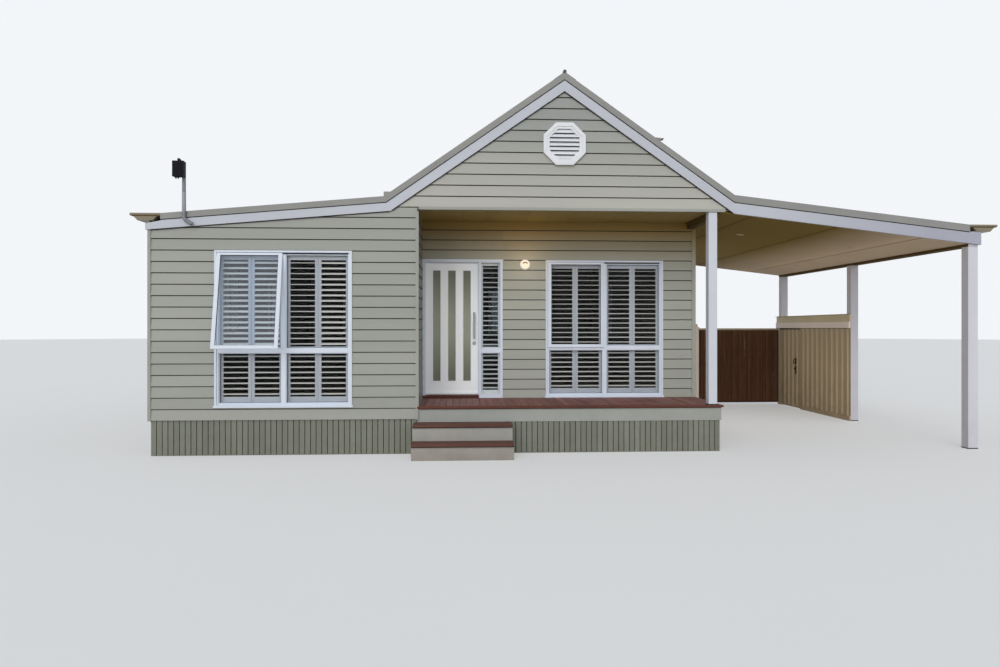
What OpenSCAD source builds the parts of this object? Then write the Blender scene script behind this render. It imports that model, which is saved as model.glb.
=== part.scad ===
// Single storey timber beach house with a gabled front, a porch and a carport.
// The house stands on level ground at height 0 and faces the -Y side.
// Lengths are in millimetres. House coordinates have X = 0 on the ridge line,
// Y = 0 on the front wall's face and Z = 0 on the ground. The finished parts
// are moved so that the origin is at the middle of the whole outline.

/* [Plan] */
// Width of the left wing, from its outer left face to the porch
wing_w = 3500; // [3300:50:4600]
// Distance from the ridge line to the left wing's inner corner
ridge_to_wing = 1985; // [1850:5:2200]
// Distance from the ridge line to the right wall's outer face
ridge_to_right = 2165; // [2050:5:2300]
// Depth of the house, from the front wall to the back wall
house_d = 9300; // [8400:50:12000]
// Depth of the porch, from the front wall to the porch wall
porch_d = 1170; // [1000:10:1500]
// Thickness of the outer walls
wall_t = 120; // [100:5:160]

/* [Levels] */
// Height of the house floor above the ground
floor_z = 660; // [645:5:720]
// Thickness of the floor with its joists
floor_t = 200; // [150:10:240]
// Height of the porch deck above the ground
deck_z = 635; // [600:5:640]
// Height of the lower edge of the wall boards
board_base_z = 470; // [420:5:500]
// Height of the head of the porch opening
porch_head_z = 3292; // [3280:2:3330]

/* [Roof] */
// Distance from the ridge line to each change of pitch
kink_x = 2335; // [2320:5:2500]
// Height of the barge boards' lower edge at the change of pitch
kink_z = 3250; // [3240:5:3270]
// Pitch of the main roof in degrees
main_pitch = 35; // [28:1:40]
// Pitch of the left wing's roof in degrees
wing_pitch = 4.9; // [4:0.1:6]
// Pitch of the carport roof in degrees
carport_pitch = 6.5; // [5:0.1:7]
// Pitch of the lower edge of the carport's barge board in degrees
carport_edge_pitch = 6.6; // [5:0.1:7.5]
// Depth of the barge boards on the main gable
main_barge_h = 128; // [110:2:150]
// Depth of the barge boards on the left wing
wing_barge_h = 120; // [110:2:150]
// Thickness of the barge boards
barge_t = 40; // [20:5:60]
// Height of the front and back barge boards' left ends, under the gutter
barge_end_h = 80; // [60:5:110]
// Thickness of the roof sheets on their battens
roof_t = 80; // [60:5:100]
// How far the metal verge capping stands in front of the wall
verge_out = 50; // [45:1:70]
// Width of the capping's flap at the foot of the steep roof
foot_flap = 90; // [80:5:140]
// Width of each leg of the ridge capping
ridge_leg = 150; // [100:10:200]
// Thickness of the ridge capping
ridge_t = 12; // [6:1:20]
// Radius of the roll along the ridge capping
ridge_roll_r = 22; // [15:1:30]

/* [Gutters] */
// Width of the gutters across the top
gutter_w = 390; // [360:10:460]
// Height of the gutters
gutter_h = 96; // [90:2:130]
// How far each side of a gutter slopes in towards its floor
gutter_slope = 95; // [60:5:110]
// Thickness of the gutters' metal
gutter_t = 6; // [4:1:10]
// Width of the rolled lips along the gutters
gutter_lip = 40; // [24:1:50]
// Height of the rolled lips
lip_h = 34; // [20:1:44]
// How far the left gutter reaches past the wall
left_gutter_out = 235; // [220:5:300]
// Side of the square downpipes
downpipe_w = 90; // [70:5:110]

/* [Carport] */
// Distance from the right wall to the outer face of the carport posts
carport_w = 3645; // [3300:5:4200]
// Depth of the carport roof
carport_d = 6000; // [5400:50:6600]
// Side of the carport posts
carport_post_w = 140; // [120:5:160]
// Distance from the front post to the middle post, centre to centre
front_bay = 3030; // [2700:10:3200]
// Height of the side beam's underside above the ground
side_beam_z = 2828; // [2780:2:2834]
// How far the carport's barge board runs past the posts
barge_run = 20; // [10:5:60]
// Thickness of the ceiling linings
lining_t = 12; // [8:1:20]

/* [Porch] */
// Side of the porch post
porch_post_w = 120; // [100:5:140]
// Distance from the porch post's right face to the right wall's face
post_inset = 58; // [40:2:90]
// Width of the porch beam
porch_beam_w = 90; // [70:5:110]
// Height of the porch beam's underside
porch_beam_z = 3200; // [3150:5:3240]
// Distance from the porch beam's right face to the right wall's face
beam_inset = 22; // [10:2:40]
// Thickness of the deck boards
deck_t = 30; // [22:1:40]
// How far the deck's nosing stands in front of the fascia
deck_nosing = 30; // [15:5:45]
// How far the deck runs past the right wall's face
deck_run = 22; // [10:2:30]
// Height of the painted fascia under the deck
fascia_h = 150; // [120:5:180]
// Thickness of the painted fascia
fascia_t = 30; // [20:2:40]
// Width of the timber steps
step_w = 1310; // [1000:10:1500]
// How far the steps stand out to the left of the porch
step_left = 45; // [0:5:100]
// Depth from one step's nosing to the next
step_go = 267; // [240:1:290]
// Thickness of the treads
tread_t = 32; // [24:2:44]
// How far each tread's nosing stands past its riser
tread_nosing = 25; // [15:5:35]
// Thickness of the risers and of the steps' cheeks
riser_t = 22; // [16:1:30]
// Height of the timber door sill on the deck
sill_h = 40; // [25:1:45]

/* [Base] */
// Thickness of the slatted base
slat_t = 30; // [20:2:40]
// How far the slatted base stands behind the wall's face
slat_in = 12; // [5:1:25]
// Side of the stumps under the floor
stump_w = 100; // [90:5:125]
// Number of stumps from left to right
stumps_across = 5; // [4:1:6]
// Number of stumps from front to back
stumps_deep = 5; // [4:1:7]

/* [Windows] */
// Width of the big windows
window_w = 1800; // [1600:10:1900]
// Height of the big windows
window_h = 2078; // [1900:2:2120]
// Height of the big windows' lower edge above the ground
window_sill_z = 637; // [636:1:660]
// Distance from the left wall's face to the wing window
wing_window_in = 838; // [700:2:1000]
// Distance from the door frame to the porch window
porch_window_gap = 653; // [500:1:700]
// Height of the lower panes' opening
low_pane_h = 670; // [560:5:760]
// Face width of the window frames
frame_face = 50; // [40:1:60]
// Width of the mullion and of the transom
bar_face = 58; // [44:1:70]
// How far the frames stand in front of the wall
frame_out = 24; // [18:1:34]
// Face width of the awning sash
sash_face = 42; // [34:1:50]
// Depth of the awning sash
sash_d = 34; // [28:1:40]
// Running gap round the awning sashes
sash_gap = 0.5; // [0.3:0.1:0.9]
// Angle at which the wing window's sash stands open
sash_angle = 11; // [4:1:25]
// Thickness of the glass
glass_t = 6; // [4:1:8]
// Width of the plain windows in the side and back walls
side_window_w = 1400; // [1000:10:1700]
// Height of the plain windows in the side and back walls
side_window_h = 1150; // [900:10:1300]
// Height of the plain windows' lower edge above the ground
side_window_z = 1565; // [1400:5:1700]
// Distance from the front to the left wall's first plain window
left_window_y = 1900; // [1200:50:2400]
// Distance from the front to the left wall's second plain window
left_window_2_y = 5300; // [4200:50:6200]
// Distance from the front to the right wall's plain window
right_window_y = 6700; // [6300:50:6800]
// Distance from the left corner to the back wall's first plain window
back_window_in = 1000; // [700:50:1600]

/* [Shutters] */
// Thickness of the shutters' stiles and rails
shutter_t = 27; // [22:1:32]
// Width of the shutters' stiles
stile_w = 42; // [34:1:50]
// Height of the shutters' rails
rail_h = 52; // [40:1:70]
// Width of a shutter blade
blade_w = 63; // [55:1:70]
// Thickness of a shutter blade
blade_t = 9; // [7:1:11]
// Pitch from one shutter blade to the next
blade_pitch = 72; // [68:1:90]
// Tilt of the shutter blades in degrees
blade_tilt = 32; // [15:1:50]

/* [Door] */
// Width of the door leaf
door_w = 800; // [760:1:870]
// Height of the door leaf
door_h = 1994; // [1940:1:2010]
// Thickness of the door leaf
door_t = 40; // [35:1:46]
// Clearance round the door leaf
door_gap = 7; // [6:0.5:9]
// Face width of the door frame's jambs
jamb_face = 34; // [28:1:40]
// Face height of the door frame's head
head_face = 32; // [20:1:80]
// Distance from the frame's front edge to the leaf's face
door_set_back = 62; // [50:2:70]
// Clear width of the sidelight
sidelight_w = 296; // [240:2:340]
// Height of the sidelight's lower pane
sidelight_low_h = 640; // [500:10:800]
// Width of each glass strip in the door
strip_w = 115; // [80:1:130]
// Height of each glass strip in the door
strip_h = 1670; // [1400:10:1750]
// Pitch from one glass strip to the next
strip_pitch = 228; // [180:1:240]
// Distance from the leaf's foot to the glass strips
strip_foot = 206; // [150:1:240]
// Diameter of the pull handle
handle_d = 26; // [20:1:32]
// Length of the pull handle
handle_l = 400; // [300:10:600]
// Distance from the leaf's foot to the pull handle's lower end
handle_low = 846; // [700:2:1000]
// Distance from the door's face to the handle's axis
handle_out = 50; // [40:1:60]

/* [Vent and fittings] */
// Width of the gable vent across its flats
vent_w = 572; // [500:4:640]
// Face width of the vent's octagonal frame
vent_face = 82; // [60:2:100]
// Depth of the vent's frame
vent_d = 46; // [40:2:60]
// Height of the vent's centre above the ground
vent_z = 4174; // [4100:2:4220]
// Number of louvre blades in the vent
vent_blades = 7; // [6:1:10]
// Radius of the porch light
light_r = 74; // [50:1:80]
// Depth of the porch light
light_d = 52; // [40:1:70]
// Distance of the porch light's axis from the door frame
light_gap = 338; // [200:2:450]
// Depth of the porch light's axis below the door frame's top
light_drop = 70; // [0:5:300]
// Outer diameter of the service mast
mast_d = 48; // [40:1:60]
// Height of the service mast's top above the roof
mast_rise = 720; // [500:10:900]
// Distance from the left wall's face to the mast's axis
mast_in = 470; // [400:10:700]
// Radius of the bend at the mast's foot
mast_bend_r = 90; // [60:5:120]
// Length of the mast's open end past its bend
mast_end_l = 50; // [20:5:100]
// Width of the box on the mast
mast_box_w = 180; // [140:5:220]
// Height of the box on the mast
mast_box_h = 205; // [160:5:260]

/* [Screens and gates] */
// Height of the top of the ribbed screen and the brush panels
screen_h = 1685; // [1500:5:1800]
// Clearance under the gates
gate_lift = 50; // [30:5:80]
// Side of the capped gate post
gate_post_w = 110; // [90:5:130]
// Distance from the right wall to the capped gate post
gate_post_in = 1540; // [1200:10:1800]
// Thickness of the brush panels
brush_t = 60; // [40:5:80]
// Clearance at the edges of the gates
gate_gap = 20; // [18:1:28]
// Width of the ribbed side gate
side_gate_w = 880; // [700:10:950]
// Pitch of the ribs on the screen
rib_pitch = 190; // [160:5:230]
// Depth of the ribs on the screen
rib_d = 26; // [18:1:34]
// Thickness of the ribbed sheet
sheet_t = 4; // [3:1:6]
// Height of the rail along the foot of the screen
foot_rail_h = 90; // [60:5:120]
// Height of each of the two boards in the screen's capping
cap_board_h = 128; // [90:2:140]
// How far the screen's capping runs past the rear post
cap_run = 60; // [0:5:120]

/* [Hinges] */
// Radius of the hinge knuckles on the door
door_knuckle_r = 7; // [6:0.5:8]
// Radius of the hinge knuckles on the gates
gate_knuckle_r = 8; // [7:0.5:8.5]
// Length of each hinge knuckle
knuckle_h = 50; // [35:1:60]
// Thickness of the hinge plates
plate_t = 3; // [2:0.5:4]
// Length of the straps on the gates
strap_l = 240; // [120:10:320]
// Height of the lower hinge above the foot of a gate
hinge_foot = 200; // [120:10:400]
// Depth of the upper hinge below the top of a gate
hinge_head = 300; // [150:10:450]
// Distance of the door's outer hinges from its ends
door_hinge_end = 180; // [120:10:300]
// Running gap between the two knuckles of a hinge
knuckle_gap = 0.3; // [0.2:0.1:1]

/* [Hidden] */

// Slack by which a cutting shape runs past the face that it cuts
cut = 1;
// Clearance of the right wall's sloping top and of the ridge capping from the roof
seat_gap = 0.2;
// Thickness of the board along the right eave and of the carport's end board
eave_board_t = 22;
end_board_t = 30;

// Outline of the plan
left_x = -ridge_to_wing - wing_w;
right_x = ridge_to_right;
wing_x = -ridge_to_wing;
post_x = right_x + carport_w;
in_left_x = left_x + wall_t;
in_right_x = right_x - wall_t;
in_back_y = house_d - wall_t;
porch_in_y = porch_d + wall_t;

// Heights of the roof's three parallel lines at the ridge and the changes of pitch
main_barge_v = main_barge_h / cos(main_pitch);
wing_barge_v = wing_barge_h / cos(wing_pitch);
main_roof_v = roof_t / cos(main_pitch);
wing_roof_v = roof_t / cos(wing_pitch);

function main_under(x) = kink_z + (kink_x - abs(x)) * tan(main_pitch);
function wing_under(x) = kink_z - (-x - kink_x) * tan(wing_pitch);
function carport_under(x) = kink_z - (x - kink_x) * tan(carport_edge_pitch);
function main_seat(x) = main_under(x) + main_barge_v;
function wing_seat(x) = wing_under(x) + wing_barge_v;
function carport_seat(x) = main_seat(kink_x) - (x - kink_x) * tan(carport_pitch);
function main_top(x) = main_seat(x) + main_roof_v;
function wing_top(x) = wing_seat(x) + wing_roof_v;
function carport_top(x) = main_top(kink_x) - (x - kink_x) * tan(carport_pitch);

// Where the main roof's upper and lower lines meet those of the left wing
fall_apart = tan(main_pitch) - tan(wing_pitch);
join_seat_x = kink_x + (main_barge_v - wing_barge_v) / fall_apart;
join_top_x = kink_x + (main_barge_v + main_roof_v - wing_barge_v - wing_roof_v) / fall_apart;

// Gutters: the outer edge is fixed, and the roof ends at the inner edge
left_gutter_x = left_x - left_gutter_out;
left_edge_x = left_gutter_x + gutter_w;
left_gutter_z = wing_top(left_edge_x) - gutter_h;
barge_left_x = left_x - 42;
barge_right_x = post_x + barge_run;
right_edge_x = post_x - carport_post_w - 8;
right_gutter_x = right_edge_x + gutter_w;
right_gutter_z = carport_top(right_edge_x) - gutter_h;
eave_gutter_w = 240;
eave_gutter_z = main_top(kink_x) - gutter_h;

// Shift that puts the origin at the middle of the whole outline
step_front = 2 * step_go + tread_nosing / 2;
x_mid = (left_gutter_x + right_gutter_x) / 2;
y_mid = (house_d + verge_out - step_front) / 2;

// Steps: equal rises from the ground to the deck, to a tenth of a millimetre
step_rise = round(deck_z / 3 * 10) / 10;
step_x = wing_x - step_left;

// Windows and door
wing_window_x = left_x + wing_window_in;
frame_x = wing_x + 6;
frame_w = 2 * jamb_face + door_w + 2 * door_gap + bar_face / 2 + sidelight_w;
frame_h = sill_h + door_h + 2 * door_gap + head_face;
frame_top_z = deck_z + frame_h;
door_x = frame_x + jamb_face + door_gap;
door_z = deck_z + sill_h + door_gap;
sidelight_x = door_x + door_w + door_gap + bar_face / 2;
sidelight_high_z = sidelight_low_h + bar_face;
sidelight_high_h = door_h + 2 * door_gap - sidelight_high_z;
porch_window_x = frame_x + frame_w + porch_window_gap;
pane_w = (window_w - 2 * frame_face - bar_face) / 2;
high_pane_z = frame_face + low_pane_h + bar_face;
high_pane_h = window_h - high_pane_z - frame_face;
sash_w = pane_w - 2 * sash_gap;
sash_h = high_pane_h - 2 * sash_gap;
glass_y = 22;
shutter_y = 62;
jamb_d = door_set_back + door_t;
hinge_y = porch_d - frame_out + jamb_d;

// Pins of the hinges, in plan, and the heights of their lower ends
door_pin = [door_x - door_gap / 2, hinge_y + door_knuckle_r];
door_hinge_z = [
    door_z + door_hinge_end,
    door_z + door_h / 2 - knuckle_h,
    door_z + door_h - door_hinge_end - 2 * knuckle_h
];

// Each big window as its left edge and its depth behind the front wall's face
big_windows = [[wing_window_x, 0], [porch_window_x, porch_d]];
// Each plain window as its side of the house and its distance along that wall
plain_windows = [
    ["left", left_window_y],
    ["left", left_window_2_y],
    ["right", right_window_y],
    ["back", left_x + back_window_in],
    ["back", -side_window_w / 2]
];

// Carport posts and the screens between them
front_post_y = 0;
mid_post_y = front_post_y + front_bay;
rear_post_y = carport_d - carport_post_w;
post_left_x = post_x - carport_post_w;
screen_x = post_left_x - sheet_t;
side_gate_y = rear_post_y - gate_gap;
screen_end_y = side_gate_y - side_gate_w - gate_gap;
gate_post_x = right_x + gate_post_in;
gate_y = carport_d - carport_post_w / 2;
rear_gate_x = gate_post_x + gate_post_w + gate_gap;
rear_gate_w = screen_x - rib_d - gate_gap - rear_gate_x;
side_gate_pin = [screen_x + sheet_t, rear_post_y - gate_gap / 2];
rear_gate_pin = [rear_gate_x - gate_gap / 2, gate_y + brush_t / 2];
gate_hinge_z = [gate_lift + hinge_foot, screen_h - hinge_head - 2 * knuckle_h];

// Mast
mast_x = left_x + mast_in;
mast_foot_z = wing_under(mast_x) + wing_barge_h / 2 - mast_d / 4;
mast_y = -verge_out - mast_d / 2;

// Colours
clad = [0.62, 0.64, 0.57];
white = [0.88, 0.88, 0.9];
roof_grey = [0.55, 0.57, 0.53];
paint = [0.52, 0.53, 0.48];
decking = [0.36, 0.16, 0.1];
cream = [0.72, 0.67, 0.56];
brush = [0.2, 0.12, 0.08];
clear = [0.55, 0.65, 0.7, 0.5];

// Moves a piece from house coordinates to the finished position
module placed() {
    translate([-x_mid, -y_mid, 0]) children();
}

// Extrudes an outline drawn in X and Z from y0 to y1
module along_y(y0, y1) {
    translate([0, y1, 0]) rotate([90, 0, 0]) linear_extrude(y1 - y0) children();
}

// Extrudes an outline drawn in Y and Z from x0 to x1
module along_x(x0, x1) {
    translate([x0, 0, 0]) rotate([90, 0, 90]) linear_extrude(x1 - x0) children();
}

// Box between two corners
module block(a, b) {
    translate(a) cube(b - a);
}

// Puts an item drawn from the outside of a wall onto one side of the house:
// its X runs along the wall, its Y goes into the wall and its Z is up
module on_side(side, along, width, depth = 0) {
    if (side == "front") {
        translate([along, depth, 0]) children();
    } else if (side == "left") {
        translate([left_x, along + width, 0]) rotate([0, 0, -90]) children();
    } else if (side == "right") {
        translate([right_x, along, 0]) rotate([0, 0, 90]) children();
    } else {
        translate([along + width, house_d, 0]) rotate([0, 0, 180]) children();
    }
}

// Cutting boxes for the plain windows
module plain_window_holes() {
    for (w = plain_windows) {
        on_side(w[0], w[1], side_window_w)
            translate([0, -cut, side_window_z])
                cube([side_window_w, wall_t + 2 * cut, side_window_h]);
    }
}

module wing_front_wall() {
    color(clad) along_y(0, wall_t) difference() {
        polygon([
            [left_x, board_base_z], [wing_x, board_base_z], [wing_x, porch_head_z],
            [-join_seat_x, porch_head_z], [-join_seat_x, wing_seat(-join_seat_x)],
            [left_edge_x, wing_seat(left_edge_x)], [left_edge_x, left_gutter_z],
            [left_x, left_gutter_z]
        ]);
        translate([wing_window_x, window_sill_z]) square([window_w, window_h]);
    }
}

module left_side_wall() {
    color(clad) difference() {
        block([left_x, wall_t, board_base_z], [in_left_x, in_back_y, left_gutter_z]);
        plain_window_holes();
    }
}

module porch_return_wall() {
    color(clad)
        block([wing_x - wall_t, wall_t, board_base_z], [wing_x, porch_in_y, porch_head_z]);
}

module porch_wall() {
    color(clad) along_y(porch_d, porch_in_y) difference() {
        translate([frame_x + frame_w, board_base_z])
            square([right_x - frame_x - frame_w, porch_head_z + lining_t - board_base_z]);
        translate([porch_window_x, window_sill_z]) square([window_w, window_h]);
    }
}

module wall_over_door() {
    color(clad) block([wing_x, porch_d, frame_top_z],
        [frame_x + frame_w, porch_in_y, porch_head_z + lining_t]);
}

module right_side_wall() {
    color(clad) difference() {
        along_y(porch_in_y, in_back_y) polygon([
            [in_right_x, board_base_z], [right_x, board_base_z],
            [right_x, main_seat(right_x) - seat_gap],
            [in_right_x, main_seat(in_right_x) - seat_gap]
        ]);
        plain_window_holes();
    }
}

module back_wall() {
    color(clad) difference() {
        along_y(in_back_y, house_d) polygon([
            [left_x, board_base_z], [right_x, board_base_z], [right_x, main_seat(right_x)],
            [0, main_seat(0)], [-join_seat_x, main_seat(join_seat_x)],
            [left_edge_x, wing_seat(left_edge_x)], [left_edge_x, left_gutter_z],
            [left_x, left_gutter_z]
        ]);
        plain_window_holes();
    }
}

module gable_wall() {
    color(clad) along_y(0, wall_t) difference() {
        polygon([
            [-join_seat_x, porch_head_z], [kink_x, porch_head_z],
            [kink_x, main_seat(kink_x)], [0, main_seat(0)],
            [-join_seat_x, main_seat(join_seat_x)]
        ]);
        translate([0, vent_z]) octagon(vent_w - 2 * vent_face);
    }
}

// Regular octagon with flats left, right, above and below
module octagon(across) {
    rotate(22.5) circle(d = across / cos(22.5), $fn = 8);
}

module floor_slab() {
    color(decking) translate([0, 0, floor_z - floor_t]) linear_extrude(floor_t) polygon([
        [in_left_x, wall_t], [wing_x - wall_t, wall_t], [wing_x - wall_t, porch_in_y],
        [in_right_x, porch_in_y], [in_right_x, in_back_y], [in_left_x, in_back_y]
    ]);
}

// Rows of stumps under the floor and one short row under the deck
module stumps() {
    across = (in_right_x - in_left_x - stump_w) / (stumps_across - 1);
    deep = (in_back_y - porch_in_y - stump_w - 2 * slat_t) / (stumps_deep - 1);
    color(cream) {
        for (i = [0 : stumps_across - 1], j = [0 : stumps_deep - 1]) {
            translate([in_left_x + i * across, porch_in_y + slat_t + j * deep, 0])
                cube([stump_w, stump_w, floor_z - floor_t]);
        }
        for (x = [wing_x + 2 * stump_w, right_x - 3 * stump_w]) {
            translate([x, porch_d / 2, 0]) cube([stump_w, stump_w, deck_z - deck_t]);
        }
    }
}

module front_slats() {
    color(paint) {
        block([left_x + slat_in, slat_in, 0], [wing_x, slat_in + slat_t, board_base_z]);
        block([wing_x + cut, slat_in, 0],
            [right_x - slat_in, slat_in + slat_t, deck_z - deck_t - fascia_h]);
    }
}

module side_slats() {
    color(paint) {
        block([left_x + slat_in, slat_in + slat_t, 0],
            [left_x + slat_in + slat_t, house_d - slat_in - slat_t, board_base_z]);
        block([left_x + slat_in, house_d - slat_in - slat_t, 0],
            [right_x - slat_in, house_d - slat_in, board_base_z]);
        block([right_x - slat_in - slat_t, porch_d, 0],
            [right_x - slat_in, house_d - slat_in - slat_t, board_base_z]);
        block([right_x - slat_in - slat_t, slat_in + slat_t, 0],
            [right_x - slat_in, porch_d, deck_z - deck_t - fascia_h]);
    }
}

// Deck with its nosing and the timber sill under the door
module porch_deck() {
    color(decking) {
        block([wing_x, -deck_nosing, deck_z - deck_t], [right_x + deck_run, porch_d, deck_z]);
        block([frame_x, porch_d - frame_out - 20, deck_z],
            [frame_x + frame_w, porch_in_y, deck_z + sill_h]);
    }
}

module deck_fascia() {
    low_z = deck_z - deck_t - fascia_h;
    color(paint) {
        block([wing_x, 0, low_z], [right_x, fascia_t, deck_z - deck_t]);
        block([right_x - fascia_t, fascia_t, low_z], [right_x, porch_d, deck_z - deck_t]);
    }
}

// Depth in front of the deck's fascia of step number n, counted from the top
function step_y(n) = -n * step_go - tread_nosing / 2;

module step_treads() {
    color(decking) for (n = [1, 2]) {
        top_z = deck_z - n * step_rise;
        back_y = n == 1 ? slat_in : step_y(1) + tread_nosing;
        block([step_x, step_y(n), top_z - tread_t], [step_x + step_w, back_y, top_z]);
    }
}

// Risers under the nosings and a stepped cheek at each end
module step_risers() {
    top_1 = deck_z - step_rise - tread_t;
    top_2 = deck_z - 2 * step_rise - tread_t;
    front_1 = step_y(1) + tread_nosing;
    front_2 = step_y(2) + tread_nosing;
    color(paint) {
        block([step_x, front_1, top_2], [step_x + step_w, front_1 + riser_t, top_1]);
        block([step_x, front_2, 0], [step_x + step_w, front_2 + riser_t, top_2]);
        for (x = [step_x, step_x + step_w - riser_t]) {
            along_x(x, x + riser_t) polygon([
                [front_2, 0], [slat_in, 0], [slat_in, top_1], [front_1, top_1],
                [front_1, top_2], [front_2, top_2]
            ]);
        }
    }
}

module porch_ceiling() {
    color(cream) block([wing_x, wall_t, porch_head_z],
        [in_right_x, porch_d, porch_head_z + lining_t]);
}

module porch_post() {
    x0 = right_x - post_inset - porch_post_w;
    color(white) block([x0, 0, deck_z], [x0 + porch_post_w, porch_post_w, porch_head_z]);
}

// Round bulkhead light with a stepped rim
module porch_light() {
    color(cream) translate([frame_x + frame_w + light_gap, porch_d, frame_top_z - light_drop])
        rotate([90, 0, 0]) {
            cylinder(r = light_r, h = light_d * 0.4);
            cylinder(r = light_r * 0.84, h = light_d);
        }
}

module main_roof_left() {
    color(roof_grey) along_y(0, house_d) polygon([
        [-join_seat_x, main_seat(join_seat_x)], [0, main_seat(0)], [0, main_top(0)],
        [-join_top_x, main_top(join_top_x)]
    ]);
}

module main_roof_right() {
    color(roof_grey) along_y(0, house_d) polygon([
        [kink_x, main_seat(kink_x)], [0, main_seat(0)], [0, main_top(0)],
        [kink_x, main_top(kink_x)]
    ]);
}

module wing_roof() {
    color(roof_grey) along_y(0, house_d) polygon([
        [left_edge_x, wing_seat(left_edge_x)], [-join_seat_x, wing_seat(-join_seat_x)],
        [-join_top_x, wing_top(-join_top_x)], [left_edge_x, wing_top(left_edge_x)]
    ]);
}

module carport_roof() {
    color(roof_grey) along_y(0, carport_d) polygon([
        [kink_x, carport_seat(kink_x)], [right_edge_x, carport_seat(right_edge_x)],
        [right_edge_x, carport_top(right_edge_x)], [kink_x, carport_top(kink_x)]
    ]);
}

// Folded capping with a roll along the ridge
module ridge_cap() {
    fall = ridge_leg * tan(main_pitch);
    up = ridge_t / cos(main_pitch);
    top = main_top(0) + seat_gap;
    color(roof_grey) along_y(-verge_out, house_d + verge_out) difference() {
        union() {
            polygon([
                [ridge_leg, top - fall], [ridge_leg, top - fall + up], [0, top + up],
                [-ridge_leg, top - fall + up], [-ridge_leg, top - fall]
            ]);
            translate([0, top + up]) circle(r = ridge_roll_r, $fn = 24);
        }
        polygon([
            [0, top], [ridge_leg + cut, top - fall - cut * tan(main_pitch)],
            [-ridge_leg - cut, top - fall - cut * tan(main_pitch)]
        ]);
    }
}

// Outline of the barge boards over the left wing and the main gable
module barge_outline() {
    polygon([
        [barge_left_x, wing_under(barge_left_x)], [-kink_x, kink_z], [0, main_under(0)],
        [kink_x, kink_z], [kink_x, main_seat(kink_x)], [0, main_seat(0)],
        [-join_seat_x, main_seat(join_seat_x)], [left_edge_x, wing_seat(left_edge_x)],
        [left_edge_x, left_gutter_z],
        [barge_left_x, wing_under(barge_left_x) + barge_end_h]
    ]);
}

// Outline of the capping over the left wing and the main gable, with the small
// flap at the foot of the steep roof
module capping_outline() {
    polygon([
        [left_edge_x, wing_seat(left_edge_x)], [-join_seat_x, main_seat(join_seat_x)],
        [0, main_seat(0)], [kink_x, main_seat(kink_x)], [kink_x, main_top(kink_x)],
        [0, main_top(0)], [-kink_x, main_top(kink_x)],
        [-kink_x - foot_flap, main_top(kink_x)],
        [-kink_x - foot_flap, wing_top(-kink_x - foot_flap)],
        [left_edge_x, wing_top(left_edge_x)]
    ]);
}

module front_barge_board() {
    color(white) along_y(-barge_t, 0) union() {
        barge_outline();
        polygon([
            [kink_x, carport_under(kink_x)], [barge_right_x, carport_under(barge_right_x)],
            [barge_right_x, right_gutter_z], [right_edge_x, right_gutter_z],
            [right_edge_x, carport_seat(right_edge_x)], [kink_x, carport_seat(kink_x)]
        ]);
    }
}

// Barge board over the back wall and the fascia behind the carport
module back_barge_board() {
    color(white) {
        along_y(house_d, house_d + barge_t) barge_outline();
        block([kink_x - eave_board_t, carport_d + end_board_t, kink_z],
            [kink_x, house_d, main_seat(kink_x)]);
    }
}

// Metal capping over the ends of the roof sheets, front and back
module verge_capping() {
    color(roof_grey) {
        along_y(-verge_out, 0) union() {
            capping_outline();
            polygon([
                [kink_x, carport_seat(kink_x)], [right_edge_x, carport_seat(right_edge_x)],
                [right_edge_x, carport_top(right_edge_x)], [kink_x, carport_top(kink_x)]
            ]);
        }
        along_y(house_d, house_d + verge_out) capping_outline();
    }
}

// Outline of a gutter's end: rolled lips over sloping sides, from its inner edge
module gutter_end(w) {
    polygon([
        [0, gutter_h], [0, gutter_h - lip_h], [gutter_lip, gutter_h - lip_h],
        [gutter_slope, 0], [w - gutter_slope, 0], [w - gutter_lip, gutter_h - lip_h],
        [w, gutter_h - lip_h], [w, gutter_h]
    ]);
}

// Section of a gutter between its ends
module gutter_section(w) {
    wall = gutter_lip + gutter_t;
    difference() {
        gutter_end(w);
        polygon([
            [wall, gutter_h + cut], [wall, gutter_h - lip_h],
            [gutter_slope + gutter_t, gutter_t], [w - gutter_slope - gutter_t, gutter_t],
            [w - wall, gutter_h - lip_h], [w - wall, gutter_h + cut]
        ]);
    }
}

// Gutter with its stop ends, running from y0 to y1
module gutter(w, y0, y1) {
    union() {
        along_y(y0, y1) gutter_section(w);
        for (y = [y0, y1 - gutter_t]) {
            along_y(y, y + gutter_t) gutter_end(w);
        }
    }
}

module gutters() {
    color(cream) {
        union() {
            translate([left_gutter_x, 0, left_gutter_z])
                gutter(gutter_w, -verge_out, house_d + verge_out);
            block([left_x - downpipe_w, in_back_y - downpipe_w, 0],
                [left_x, in_back_y, left_gutter_z + gutter_t]);
        }
        translate([right_edge_x, 0, right_gutter_z])
            gutter(gutter_w, -verge_out, carport_d + verge_out);
        translate([kink_x, 0, eave_gutter_z])
            gutter(eave_gutter_w, carport_d + 2 * verge_out, house_d + verge_out);
    }
}

// Lining under the carport roof, which follows its slope
module carport_ceiling() {
    color(cream) along_y(0, carport_d) polygon([
        [right_x, carport_under(right_x)], [post_left_x, carport_under(post_left_x)],
        [post_left_x, carport_under(post_left_x) + lining_t],
        [right_x, carport_under(right_x) + lining_t]
    ]);
}

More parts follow.
